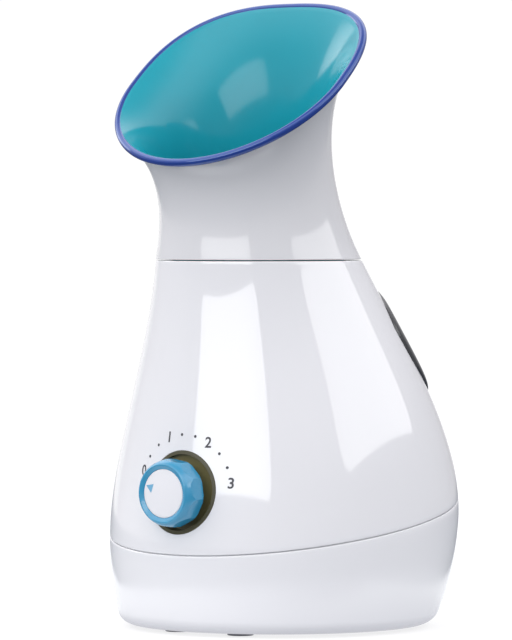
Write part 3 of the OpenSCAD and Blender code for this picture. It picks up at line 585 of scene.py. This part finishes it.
guard_wall, guard_h, guard_inner_h, guard_slope, guard_around = 2.0, 8.0, 5.0, 3.0, 96
hole_r, hole_ring_r, hole_count, hole_cut_d, hole_around = 2.4, 7.2, 6, 14.0, 40
guard_r = duct_r + guard_wall
guard_foot = steam_axis + dish_floor * upward
guard_profile = (
    (0.0, guard_inner_h), (duct_r, guard_inner_h), (duct_r, 0.0), (guard_r, 0.0),
    (guard_r, guard_inner_h), (duct_r - guard_slope, guard_h), (0.0, guard_h),
)
guard_rounding = ((5, 1.2), (4, 1.2), (3, 0.4))
guard_mesh = turned(guard_profile, guard_foot, upward, guard_around, guard_rounding)
hole_spots = [Vector((0, 0, 0))] + [
    Matrix.Rotation(tau * count / hole_count, 3, "Z") @ Vector((hole_ring_r, 0, 0))
    for count in range(hole_count)
]
holes = []
for spot in hole_spots:
    hole = bmesh.new()
    hole_place = Matrix.Translation(guard_foot + spot + guard_inner_h * upward)
    cylinder(hole, hole_r, hole_cut_d, hole_around, hole_place)
    holes.append(hole)
guard = moulding("steam_guard_cap", carve(guard_mesh, holes), teal)
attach(guard, "housing")
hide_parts("steam_guard")

# hood
# Lift-off face hood: a flared white shell outside, a glossy teal funnel inside, and a
# blue bead snapped over the edges of both. A skirt under the funnel drops into the deck.

hood_bottom = collar_z + line_gap / 2
rim_mid = Vector((-34.0, 260.4))
rim_len, rim_wide, rim_form, rim_tilt = 58.6, 62.5, 2.6, radians(40.4)
rim_along = Vector((cos(rim_tilt), sin(rim_tilt)))
rim_up = Vector((-sin(rim_tilt), cos(rim_tilt)))
hood_wall, hood_painted_shade, hood_outer_steps, hood_inner_steps = 1.7, 0.87, 72, 24
lip_from, lip_thin, edge_share = 0.75, 0.5, 0.006
front_pull, front_flare, front_lead = 4.5, 22.9, 21.1
back_pull, back_flare, back_lead = 28.3, 57.5, 46.1


def rim_lead(side, flare, lead):
    """Point (y, z) below the rim from which the shell runs into it, flare in degrees."""
    lean = radians(flare)
    run = cos(lean) * rim_up + sin(lean) * side * rim_along
    return rim_mid + side * rim_len * rim_along - lead * run


def curve_at(guides, share):
    """Point of the cubic curve with these four guide points, a share of the way along it."""
    start, leave, arrive, end = guides
    rest = 1 - share
    bend = 3 * rest**2 * share * leave + 3 * rest * share**2 * arrive
    return rest**3 * start + bend + share**3 * end


collar_front = Vector((-collar_front_r, hood_bottom))
collar_back = Vector((collar_back_r, hood_bottom))
front_lean, back_lean = front_line[2][1], back_line[2][1]
front_rise = front_pull * Vector((-front_lean, 1))
back_rise = back_pull * Vector((back_lean, 1)).normalized()
front_guide, back_guide = rim_lead(-1, front_flare, front_lead), rim_lead(1, back_flare, back_lead)
hood_front = (collar_front, collar_front + front_rise, front_guide, rim_lead(-1, 0, 0))
hood_back = (collar_back, collar_back + back_rise, back_guide, rim_lead(1, 0, 0))
# growth of the half width that carries the housing's flanks on without a bend, less the hoops' own
half_rate = 3 / 2
flank_slope = (front_lean + back_lean) / 2
hoop_growth = half_rate * (back_rise.x - front_rise.x) + (rim_wide / rim_len - 1) * collar_r
flank_ease = half_rate * (front_rise.y + back_rise.y) * flank_slope - hoop_growth


def hood_hoop(share, inset):
    """Hoop of the hood from collar (share 0) to rim (share 1); its walls thin towards the rim."""
    front, back = curve_at(hood_front, share), curve_at(hood_back, share)
    thin = max(0.0, (share - lip_from) / (1 - lip_from)) ** 2
    inset *= between(1.0, lip_thin, thin)
    inward = (back - front).normalized() * inset
    widening = between(1.0, rim_wide / rim_len, share)
    half = widening * (back - front).length / 2 + flank_ease * share * (1 - share) ** 3
    return hoop(front + inward, back - inward, half - inset, between(circle, rim_form, share**2))


def hood_rows(start, end, inset, steps):
    return [hood_hoop(between(start, end, step / steps), inset) for step in range(steps + 1)]


shell_rows = [
    hood_hoop(edge_share * up / joint_edge_r, inset) for inset, up in reversed(soft_edge)
]
shell_rows += hood_rows(edge_share, 1, 0, hood_outer_steps)
shell_rows += hood_rows(1, 0, hood_wall, hood_inner_steps)
# The hood's white is the housing's white made darker as painted shade, for the shade that falls on the neck
# under the hood's flare.
hood_painted_shade_white = moulded(
    "white_gloss_hood_painted_shade", shade(shell_white, hood_painted_shade), roughness=0.09, specular=0.7, **polish
)
hood_shell = moulding("hood_shell_outer", loft(shell_rows, closed=True), hood_painted_shade_white)
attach(hood_shell, "hood")
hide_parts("hood_shell")

liner_wall, liner_gap, skirt_h, skirt_slip, seat_clear = 1.7, 0.7, 3.0, 0.3, 0.3
funnel_start, funnel_outer_steps, funnel_inner_steps, funnel_sharp = 0.04, 24, 72, 40
funnel_out = hood_wall + liner_gap
funnel_in = funnel_out + liner_wall
skirt_r, skirt_z, seat_z = dish_r - skirt_slip, collar_z - skirt_h, collar_z + seat_clear


def flat_hoop(z, radius):
    return hoop(Vector((steam_y - radius, z)), Vector((steam_y + radius, z)), radius)


funnel_rows = [flat_hoop(skirt_z, skirt_r), flat_hoop(seat_z, skirt_r)]
funnel_rows += [flat_hoop(seat_z, collar_r - funnel_out)]
funnel_rows += hood_rows(funnel_start, 1, funnel_out, funnel_outer_steps)
funnel_rows += hood_rows(1, funnel_start, funnel_in, funnel_inner_steps)
funnel_rows += [flat_hoop(seat_z, skirt_r - liner_wall), flat_hoop(skirt_z, skirt_r - liner_wall)]
funnel = moulding("hood_funnel", loft(funnel_rows, closed=True), teal, funnel_sharp)
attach(funnel, "hood")
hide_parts("hood_liner")

bead_h, bead_cap, bead_out, bead_slip, bead_lap = 3.0, 0.7, 1.3, 0.05, 0.25
bead_side_steps, bead_cap_steps = 6, 14
bead_in = funnel_in * lip_thin + bead_lap
bead_mid, bead_half = (bead_cap - bead_h) / 2, (bead_cap + bead_h) / 2
cap_half = (bead_out + bead_in) / 2
cap_end = pi - asin(-bead_mid / bead_half)


def rim_hoop(up, out):
    """Hoop on the rim's outline, up above its plane and out outside it."""
    reach = (rim_len + out) * rim_along
    lift = rim_mid + up * rim_up
    return hoop(lift - reach, lift + reach, rim_wide + out, rim_form)


bead_rows = [
    rim_hoop(bead_mid - bead_half * (1 - under), between(bead_out, bead_slip, inset))
    for inset, under in reversed(rounded(1.0, bead_side_steps))
]
bead_rows += [
    rim_hoop(bead_mid + bead_half * sin(angle), bead_out - cap_half * (1 - cos(angle)))
    for angle in (cap_end * step / bead_cap_steps for step in range(bead_cap_steps + 1))
]
bead_rows += [rim_hoop(0.0, bead_slip)]
rim_blue = moulded(
    "rim_blue", (0.006, 0.034, 0.25), roughness=0.05, clouding=0.05, grain=500.0, grain_depth=0.00001,
    **{"IOR": 1.95, "Specular Tint": (0.55, 0.72, 1.0, 1.0)},
)
bead = moulding("hood_rim_bead", loft(bead_rows, closed=True), rim_blue)
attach(bead, "hood")
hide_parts("hood_rim")

# knob well and switch
# Dark moulded cup set into the housing's front, its rim following the housing. The rotary
# switch is held in its floor by a steel nut, and only its shaft comes through.

well_d, well_wall, well_floor_t, bushing_r = 5.0, 1.4, 2.0, 4.6
well_proud, well_round, rim_blank, rim_reach, rim_soft = 0.12, 0.8, 8.0, 4.0, 0.3
well_floor_y, well_in = face_y + well_d, well_r - well_wall
well_back_y, blank_y = well_floor_y + well_floor_t, face_y - rim_blank
knob_axis, to_front = Vector((0, 0, knob_z)), Vector((0, -1, 0))
halvings = 36


def front_surface(x, z):
    """Y of the housing's outer face in front, at x and z, found by halving."""
    under, over = 0.0, 1.0
    for _ in range(halvings):
        share = (under + over) / 2
        z_front = between(wall_low[0], wall_high[0], share)
        z_back = between(wall_low[1], wall_high[1], share)
        front, back = outline(front_line, z_front), outline(back_line, z_back)
        bow = sqrt(max(0.0, 1 - (2 * x / (front + back)) ** 2))
        if between((z_front + z_back) / 2, z_front, bow) < z:
            under = share
        else:
            over = share
    return (back - front) / 2 - bow * (front + back) / 2


def turned_to_front(profile, around, rounding):
    """Spins a closed profile, points (radius, y), about the knob's axis."""
    return turned([(radius, -y) for radius, y in profile], knob_axis, to_front, around, rounding)


well_profile = (
    (bushing_r, well_back_y), (well_r, well_back_y), (well_r, blank_y),
    (well_in, blank_y), (well_in, well_floor_y), (bushing_r, well_floor_y),
)
well_mesh = turned_to_front(well_profile, well_around, ((4, well_round),))
for vert in well_mesh.verts:
    if vert.co.y < face_y - rim_blank / 2:
        vert.co.y = front_surface(vert.co.x, vert.co.z) - well_proud
well_mesh.normal_update()
rim_edges = [
    edge for edge in corner_edges(well_mesh)
    if max(vert.co.y for vert in edge.verts) < face_y + rim_reach
]
soften(well_mesh, rim_edges, rim_soft)

# Painted light and shade on the well: its floor colour is lightened against the shade in the recess, and its
# inner wall and rim are darkened as painted shade.
painted_light_end_r, mottle_scale, mottle_detail, mottle_strength, mottle_depth = 17.4, 60.0, 3.0, 0.2, 0.00003
olive_painted_light, well_painted_shade = (0.17, 0.15, 0.06, 1), (0.055, 0.051, 0.02, 1)
well_gloss_base, well_gloss_swing = 0.32, 0.16
pit = Finish(bpy.data.materials.new("dark_well"))
flat_place = pit.add("ShaderNodeMapping", {}, {"Vector": pit.place(), "Scale": (1.0, 0.0, 1.0)})
from_axis = pit.vector("DISTANCE", flat_place, knob_axis * MM)
mottle = pit.noise(mottle_scale, mottle_detail)
painted_shade_to_wall = pit.fade(from_axis, painted_light_end_r * MM, well_in * MM)
dark_well = pit.close({
    "Base Color": pit.mix(painted_shade_to_wall, olive_painted_light, well_painted_shade),
    "Roughness": well_gloss_base + mottle * well_gloss_swing,
    "Normal": pit.bump(mottle, mottle_strength, mottle_depth),
})
well = moulding("knob_well", well_mesh, dark_well)
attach(well, "housing")
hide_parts("knob_bezel")
dress(moulded("switch_black", (0.02, 0.02, 0.022), 0.4, 0.1), "rotary_switch")
dress(metal("nut_steel", (0.6, 0.6, 0.58), 0.28), "switch_nut", "switch_shaft")

# selector knob
# Blue moulded grip with ten flats and a rounded shoulder, a white domed disc let into its
# front, and a blue pointer inlaid in the disc. It presses onto the switch shaft.

knob_r, knob_crest_r, knob_reach, knob_clear, knob_skirt = 16.3, 13.3, 13.2, 1.5, 1.6
knob_edge, crest_round, shoulder_steps, grip_around, grip_sharp, grip_weld = 0.7, 0.5, 16, 160, 9, 0.002
flat_r, flat_count, flat_turn = 15.3, 10, radians(9)
disc_r, disc_sink, disc_dome, disc_t, disc_slip, disc_round = 11.4, 1.0, 0.6, 1.8, 0.1, 0.25
disc_steps, disc_around = 10, 128
knob_face_y, knob_back_y = face_y - knob_reach, face_y - knob_clear
knob_wide_y = knob_back_y - knob_skirt
seat_r, seat_y = disc_r + disc_slip, knob_face_y + disc_t

knob_profile = [(0.0, knob_back_y), (knob_r - knob_edge, knob_back_y)]
for back, inward in (*reversed(rounded(1.0, shoulder_steps)), (0.0, 1.0)):
    knob_profile.append((between(knob_r, knob_crest_r, inward), between(knob_face_y, knob_wide_y, back)))
crest = len(knob_profile) - 1
knob_profile += [(seat_r, knob_face_y + disc_sink), (seat_r, seat_y), (0.0, seat_y)]
grip_mesh = turned_to_front(knob_profile, grip_around, ((crest, crest_round),))
for count in range(flat_count):
    angle = flat_turn + tau * count / flat_count
    outward = Vector((cos(angle), 0, sin(angle)))
    cut = bmesh.ops.bisect_plane(
        grip_mesh, geom=grip_mesh.verts[:] + grip_mesh.edges[:] + grip_mesh.faces[:],
        plane_co=knob_axis + outward * flat_r, plane_no=outward, clear_outer=True,
    )
    bmesh.ops.contextual_create(grip_mesh, geom=only(BMEdge, cut["geom_cut"]))
bmesh.ops.remove_doubles(grip_mesh, verts=grip_mesh.verts, dist=grip_weld)
knob_blue = moulded(
    "knob_blue", (0.038, 0.295, 0.5), roughness=0.14, clouding=0.05, grain=1100.0, grain_depth=0.00001,
    specular=0.85,
)
grip = moulding("knob_grip_cap", grip_mesh, knob_blue, grip_sharp)
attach(grip, "knob")
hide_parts("knob_grip")


def dome_y(share):
    """Y of the disc's front, a share of its radius from the middle."""
    return knob_face_y + disc_sink - disc_dome * (1 - share**2)


disc_profile = [(0.0, seat_y), (disc_r, seat_y), (disc_r, dome_y(1))]
for step in range(1, disc_steps + 1):
    share = 1 - step / disc_steps
    disc_profile.append((disc_r * share, dome_y(share)))
disc_mesh = turned_to_front(disc_profile, disc_around, ((2, disc_round),))
disc_white = moulded(
    "knob_white", (0.82, 0.825, 0.85), roughness=0.22, clouding=0.01, grain=900.0, grain_depth=0.00001
)
disc = moulding("knob_disc", disc_mesh, disc_white)
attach(disc, "knob")
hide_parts("knob_face")

pointer_tip, pointer_h, pointer_w = 10.6, 4.1, 4.5
pointer_round, pointer_proud, pointer_sunk = 0.3, 0.08, 0.4
rest_angle = 160.0
pointer_foot = pointer_tip - pointer_h
pointer_mesh = bmesh.new()
corners = [
    pointer_mesh.verts.new((out, 0, side))
    for out, side in ((pointer_tip, 0), (pointer_foot, pointer_w / 2), (pointer_foot, -pointer_w / 2))
]
pointer_mesh.faces.new(corners)
to_rest = Matrix.Rotation(-radians(rest_angle), 3, "Y")
bmesh.ops.rotate(pointer_mesh, matrix=to_rest, verts=corners)
soften(pointer_mesh, corners, pointer_round, affect="VERTICES")
raised = bmesh.ops.extrude_face_region(pointer_mesh, geom=pointer_mesh.faces[:])["geom"]
lifted = set(only(BMVert, raised))
for vert in pointer_mesh.verts:
    depth = -pointer_proud if vert in lifted else pointer_sunk
    vert.co += knob_axis + Vector((0, dome_y(vert.co.length / disc_r) + depth, 0))
pointer_blue = moulded("pointer_blue", (0.17, 0.43, 0.64), 0.3, 0.05)
pointer = moulding("knob_arrow", pointer_mesh, pointer_blue)
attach(pointer, "knob")
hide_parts("knob_pointer")

# dial marks
# Plain numerals and dots pad-printed in dark grey ink on the housing around the knob,
# one numeral for each of the four positions and two dots between neighbours.

mark_r, numeral_size, numeral_bold, numeral_steps = 27.0, 7.0, 0.13, 6
dot_r, dot_around, ink_t, positions, turn_step = 0.7, 20, 0.06, 4, 50.0
ink = moulded("dial_ink", (0.045, 0.045, 0.055), 0.45, 0.15)


def dial_place(turns):
    """Place of a mark on the dial's circle, this many positions on, to a tenth of a degree."""
    angle = radians(round(rest_angle - turn_step * turns, 1))
    spot = knob_axis + mark_r * Vector((cos(angle), 0, sin(angle)))
    return Matrix.Translation(spot) @ facing_front


marks = bmesh.new()
for count in range(positions):
    words = bpy.data.curves.new("numeral", "FONT")
    words.body, words.size, words.offset = str(count), numeral_size, numeral_bold
    words.align_x, words.align_y, words.resolution_u = "CENTER", "CENTER", numeral_steps
    flat = bpy.data.objects.new("numeral", words)
    link(flat)
    bpy.context.view_layer.update()
    mesh = bpy.data.meshes.new_from_object(flat.evaluated_get(bpy.context.evaluated_depsgraph_get()))
    known = set(marks.verts)
    marks.from_mesh(mesh)
    fresh = [vert for vert in marks.verts if vert not in known]
    bmesh.ops.transform(marks, matrix=dial_place(count), verts=fresh)
    bpy.data.objects.remove(flat)
    bpy.data.curves.remove(words)
    bpy.data.meshes.remove(mesh)
for count in range(positions - 1):
    for third in (1, 2):
        bmesh.ops.create_circle(
            marks, cap_ends=True, segments=dot_around, radius=dot_r, matrix=dial_place(count + third / 3)
        )
for vert in marks.verts:
    vert.co.y = front_surface(vert.co.x, vert.co.z) - ink_t
bmesh.ops.remove_doubles(marks, verts=marks.verts, dist=weld)
dial = moulding("dial_marks", marks, ink)
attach(dial, "housing")

# tank bay and dock
# White niche that guides the tank, with the dock in its floor: a socket whose pin opens
# the tank's valve, and a short hose down to the boiler.

bay_white = moulded(
    "bay_white", (0.74, 0.745, 0.76), roughness=0.3, clouding=0.02, grain=700.0, grain_depth=0.00001
)
dress(bay_white, "tank_bay")
dress(moulded("dock_grey", (0.36, 0.38, 0.41), 0.42, 0.06), "tank_dock")

# water tank
# Smoked clear tank, blow moulded with one even wall, its back following the housing and
# standing a little proud of it, with a finger scoop near the top edge.

tank_proud, tank_wall, tank_edge_r, tank_front_r = 1.0, 2.2, 2.0, 1.2
tank_around, front_steps, side_steps, edge_steps, back_steps = 160, 4, 8, 5, 44
cap_hole_r, cap_rise = 9.0, 0.8
valve_z = tank_z - tank_half_h + tank_wall + cap_hole_r + cap_rise
scoop_r, scoop_half_w, scoop_up, scoop_out, scoop_blend = 9.0, 23.0, 14.0, 2.0, 2.2
scoop_z = tank_z + scoop_up
scoop_y = outline(back_line, scoop_z) + tank_proud + scoop_out


def back_surface(x, z):
    """Y of the tank's outer face, with the finger scoop pressed into it."""
    front, back = outline(front_line, z), outline(back_line, z)
    half = (front + back) / 2 + tank_proud
    y = (back - front) / 2 + sqrt(max(0.0, half**2 - x**2))
    drop = scoop_r**2 - (z - scoop_z) ** 2
    if drop > 0 and abs(x) < scoop_half_w + scoop_blend:
        sunk = scoop_y - sqrt(drop)
        if sunk < y:
            edge = min(1.0, (scoop_half_w + scoop_blend - abs(x)) / (2 * scoop_blend))
            y -= (y - sunk) * edge**2 * (3 - 2 * edge)
    return y


tank_mesh = bmesh.new()
turn_of = tank_mesh.verts.layers.float.new("turn")


def tank_row(loop, place, *sizes):
    """Extrudes a loop of the tank and puts each new point where place says for its angle."""
    loop, points = grow(tank_mesh, loop)
    for vert in points:
        vert.co = place(vert[turn_of], *sizes)
    return loop


def tank_front(angle, inset, y):
    """Point of the flat end's rounded edge, inset from the oval at depth y."""
    x, z = tank_point(angle, -inset)
    return x, y, z


def tank_skin(angle, inset, share, sink):
    """Point inset from the oval, a share of the way from the flat end to sink under the back."""
    x, z = tank_point(angle, -inset)
    return x, between(tank_y + tank_front_r, back_surface(x, z) - sink, share), z


def tank_back(angle, share):
    """Point of the back, the edge's inner end being share 1 and the middle 0."""
    x, z = tank_point(angle, -tank_edge_r)
    x, z = x * share, between(tank_z, z, share)
    return x, back_surface(x, z), z


mouth_place = Matrix.Translation((0, tank_y, valve_z)) @ Matrix.Rotation(radians(-90), 4, "X")
mouth = bmesh.ops.create_circle(
    tank_mesh, cap_ends=False, segments=tank_around, radius=cap_hole_r, matrix=mouth_place
)["verts"]
mouth_loop = loop_edges(mouth)
loop = tank_ring(tank_mesh, tank_around, -tank_front_r, tank_y)
bmesh.ops.bridge_loops(tank_mesh, edges=mouth_loop + loop)
for depth, inset in rounded(tank_front_r, front_steps):
    loop = tank_row(loop, tank_front, inset, tank_y + depth)
for step in range(1, side_steps + 1):
    loop = tank_row(loop, tank_skin, 0.0, step / side_steps, tank_edge_r)
for inset, sink in rounded(tank_edge_r, edge_steps):
    loop = tank_row(loop, tank_skin, inset, 1.0, sink)
for step in range(1, back_steps + 1):
    loop = tank_row(loop, tank_back, 1 - step / back_steps)
bmesh.ops.remove_doubles(tank_mesh, verts=tank_mesh.verts, dist=weld)
bmesh.ops.recalc_face_normals(tank_mesh, faces=tank_mesh.faces)
bmesh.ops.solidify(tank_mesh, geom=tank_mesh.faces[:], thickness=tank_wall)
smoked = moulded(
    "smoked_tank", (0.05, 0.055, 0.062), roughness=0.1, clouding=0.1, grain=500.0, grain_depth=0.00001,
    **{"Transmission Weight": 0.55, "IOR": 1.49},
)
tank = moulding("water_tank", tank_mesh, smoked)
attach(tank, "tank")
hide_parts("tank_shell")

# tank cap and valve
# White bayonet cap in the tank's inner face. A sprung plunger in it stays shut until the
# dock's pin pushes it in, and a red ring seals the cap's nose in the dock.

dress(moulded("cap_white", (0.72, 0.725, 0.74), 0.32, 0.03), "tank_cap")
dress(moulded("plunger_grey", (0.3, 0.32, 0.35), 0.4, 0.06), "valve_plunger")
dress(metal("spring_steel", (0.6, 0.59, 0.57), 0.25), "valve_spring")

# mains socket
# Black two-pin appliance socket of moulded plastic, snapped into the back of the base, with
# its two plated pins inside.

socket_black = moulded(
    "socket_black", (0.018, 0.018, 0.02), roughness=0.42, clouding=0.12, grain=1500.0, grain_depth=0.00004
)
dress(socket_black, "mains_inlet")
dress(metal("pin_nickel", (0.66, 0.64, 0.6), 0.24), "inlet_pins")

# studio
# Pale floor that runs out into a white surround, and close under it an unseen one that
# shapes the light from below. Three softboxes light the object, and the lens is a long one.

camera_turn = radians(37)
to_camera = Vector((sin(camera_turn), -cos(camera_turn), 0))
to_right = Vector((cos(camera_turn), sin(camera_turn), 0))
lens_z, lens_distance, focal_px, sensor, sight_end = 0.2002, 2.4, 5000.0, 36.0, 30.0
image_w, image_h, axis_px = 512, 640, (278, 209)

camera = bpy.data.objects.new("camera", bpy.data.cameras.new("camera"))
link(camera)
aim = (
    -to_camera * focal_px
    + to_right * (image_w / 2 - axis_px[0])
    - upward * (image_h / 2 - axis_px[1])
)
camera.location = to_camera * lens_distance + upward * lens_z
camera.rotation_mode = "QUATERNION"
camera.rotation_quaternion = aim.to_track_quat("-Z", "Y")
camera.data.sensor_width = sensor
camera.data.lens = sensor * focal_px / image_h
camera.data.clip_end = sight_end
bpy.context.scene.camera = camera
bpy.context.scene.view_settings.view_transform = "Standard"

white, cool, mild = (1.0, 1.0, 1.0), (0.8, 0.98, 1.2), (1.0, 0.985, 1.025)
sky_low, sky_left, sky_high, sky_top, backdrop = 0.49, 0.71, 1.95, 0.6, 1.03
# where each soft step of the sky starts and ends
left_to_right, low_to_ring = (-0.8, 0.1), (0.2, 0.7)
ring_to_top, into_backdrop = (0.75, 0.95), (0.9, 0.97)
backdrop_turn = radians(10)
backdrop_way = -to_camera * cos(backdrop_turn) - to_right * sin(backdrop_turn)


def surround(finish, way):
    """Light of the studio by direction: white behind the object, brightest in a ring overhead."""
    high = finish.add("ShaderNodeSeparateXYZ", {}, {0: way}, "Z")
    rightward = finish.fade(finish.vector("DOT_PRODUCT", way, to_right), *left_to_right)
    low = finish.mix(rightward, shade(mild, sky_left), shade(mild, sky_low))
    upper = finish.mix(finish.fade(high, *ring_to_top), shade(mild, sky_high), shade(mild, sky_top))
    sky = finish.mix(finish.fade(high, *low_to_ring), low, upper)
    behind = finish.fade(finish.vector("DOT_PRODUCT", way, backdrop_way), *into_backdrop)
    return finish.mix(behind, sky, shade(white, backdrop))


world = bpy.data.worlds.new("studio")
bpy.context.scene.world = world
air = Finish(world)
sky_light = surround(air, air.add("ShaderNodeTexCoord", {}, {}, "Generated"))
sky_shader = air.add("ShaderNodeBackground", {}, {"Color": sky_light, "Strength": 1.0})
air.end(sky_shader, "ShaderNodeOutputWorld")

floor_r, floor_around, floor_white, floor_paper, floor_grey = 7000.0, 128, 0.7, 0.3, 0.1
floor_left, floor_right, floor_front, floor_under = 0.98, 0.48, 0.11, 0.6
# where each soft step of the floor's light starts and ends
lane_left, lane_right, lane_depth, lane_near = (-0.075, -0.06), (0.05, 0.065), (-0.13, -0.085), (0.075, 0.13)
side_to_side, beside_to_front, under_to_beside = (-0.05, 0.04), (0.14, 0.22), (0.085, 0.13)


def plain_light(finish, spot, distance):
    """Even pale sweep, its glow and its paper's colour."""
    return shade(white, floor_white), shade(white, floor_paper)


def bounce_light(finish, spot, distance):
    """Light off the floor: bright beside and behind the object, flagged off in front of it."""
    behind = finish.vector("DOT_PRODUCT", spot, -to_camera)
    bearing = finish.vector("DOT_PRODUCT", spot, to_right) / (behind + lens_distance)
    lane = finish.fade(bearing, *lane_left) * (1 - finish.fade(bearing, *lane_right))
    clear = lane * finish.fade(behind, *lane_depth) * finish.fade(distance, *lane_near)
    across = finish.fade(bearing, *side_to_side)
    beside = finish.mix(across, shade(mild, floor_left), shade(mild, floor_right))
    front = finish.mix(finish.fade(distance, *beside_to_front), beside, shade(mild, floor_front))
    near = finish.mix(finish.fade(distance, *under_to_beside), shade(mild, floor_under), front)
    return finish.mix(clear, near, shade(white, 1.0)), shade(cool, floor_grey)


def sweep(name, light, height, near, far):
    """Round floor with the glow and paper that light gives, running out into the surround."""
    shape = bmesh.new()
    bmesh.ops.create_circle(
        shape, cap_ends=True, segments=floor_around, radius=floor_r,
        matrix=Matrix.Translation((0, 0, height)),
    )
    ground = Finish(bpy.data.materials.new(name))
    spot = ground.place()
    distance = ground.vector("LENGTH", spot)
    far_light = surround(ground, ground.vector("NORMALIZE", spot, output="Vector"))
    glow, grey = light(ground, spot, distance)
    paper = ground.add("ShaderNodeBsdfDiffuse", {}, {"Color": grey})
    near_glow = ground.add("ShaderNodeEmission", {}, {"Color": glow, "Strength": 1.0})
    far_glow = ground.add("ShaderNodeEmission", {}, {"Color": far_light, "Strength": 1.0})
    near_floor = ground.add("ShaderNodeAddShader", {}, {0: paper, 1: near_glow})
    outward = ground.fade(distance, near, far)
    ground.end(ground.add("ShaderNodeMixShader", {}, {0: outward, 1: near_floor, 2: far_glow}))
    piece = moulding(name, shape, ground.owner)
    return piece


floor = sweep("studio_floor", plain_light, height=0.0, near=2.0, far=6.0)
floor.visible_diffuse = floor.visible_glossy = floor.visible_shadow = False
bounce = sweep("floor_bounce", bounce_light, height=-0.5, near=1.2, far=4.0)
bounce.visible_camera = bounce.visible_transmission = False

box_corner_steps, glow_core, glow_edge, edge_dim = 8, 0.2, 0.7, 0.8


def softbox(name, side, distance, left, right, low, high, roll, corner, brightness):
    """Upright diffuser with round corners, side degrees right of the camera, edges in metres."""
    angle = radians(side)
    way = to_camera * cos(angle) + to_right * sin(angle)
    across = to_right * cos(angle) - to_camera * sin(angle)
    middle = way * distance + across * (left + right) / 2 + upward * (low + high) / 2
    upright = Matrix((across, upward, way)).transposed().to_4x4()
    width = right - left
    panel = bmesh.new()
    bmesh.ops.create_grid(panel, x_segments=1, y_segments=1, size=0.5)
    bmesh.ops.scale(panel, vec=(width, high - low, 1), verts=panel.verts)
    soften(panel, panel.verts[:], corner, box_corner_steps, "VERTICES")
    bmesh.ops.transform(panel, matrix=Matrix.Rotation(radians(roll), 4, "Z"), verts=panel.verts)
    bmesh.ops.transform(panel, matrix=Matrix.Translation(middle) @ upright, verts=panel.verts)
    bmesh.ops.scale(panel, vec=(1 / MM, 1 / MM, 1 / MM), verts=panel.verts)
    cloth = Finish(bpy.data.materials.new(name))
    from_middle = cloth.vector("DISTANCE", cloth.place(), middle)
    glow = cloth.fade(
        from_middle, glow_core * width, glow_edge * width, brightness, edge_dim * brightness
    )
    cloth.end(cloth.add("ShaderNodeEmission", {}, {"Strength": glow}))
    box = moulding(name, panel, cloth.owner)
    box.visible_camera = box.visible_shadow = False


softbox(
    "softbox_left", side=-38.5, distance=0.85, left=-0.43, right=0.49, low=0.22, high=0.52,
    roll=3.2, corner=0.06, brightness=3.2,
)
softbox(
    "softbox_right", side=77.5, distance=1.2, left=-0.9, right=0.82, low=0.472, high=0.825,
    roll=0.0, corner=0.17, brightness=2.6,
)
softbox(
    "softbox_behind", side=-124.0, distance=1.0, left=-0.2, right=0.2, low=0.36, high=0.85,
    roll=0.0, corner=0.04, brightness=3.2,
)
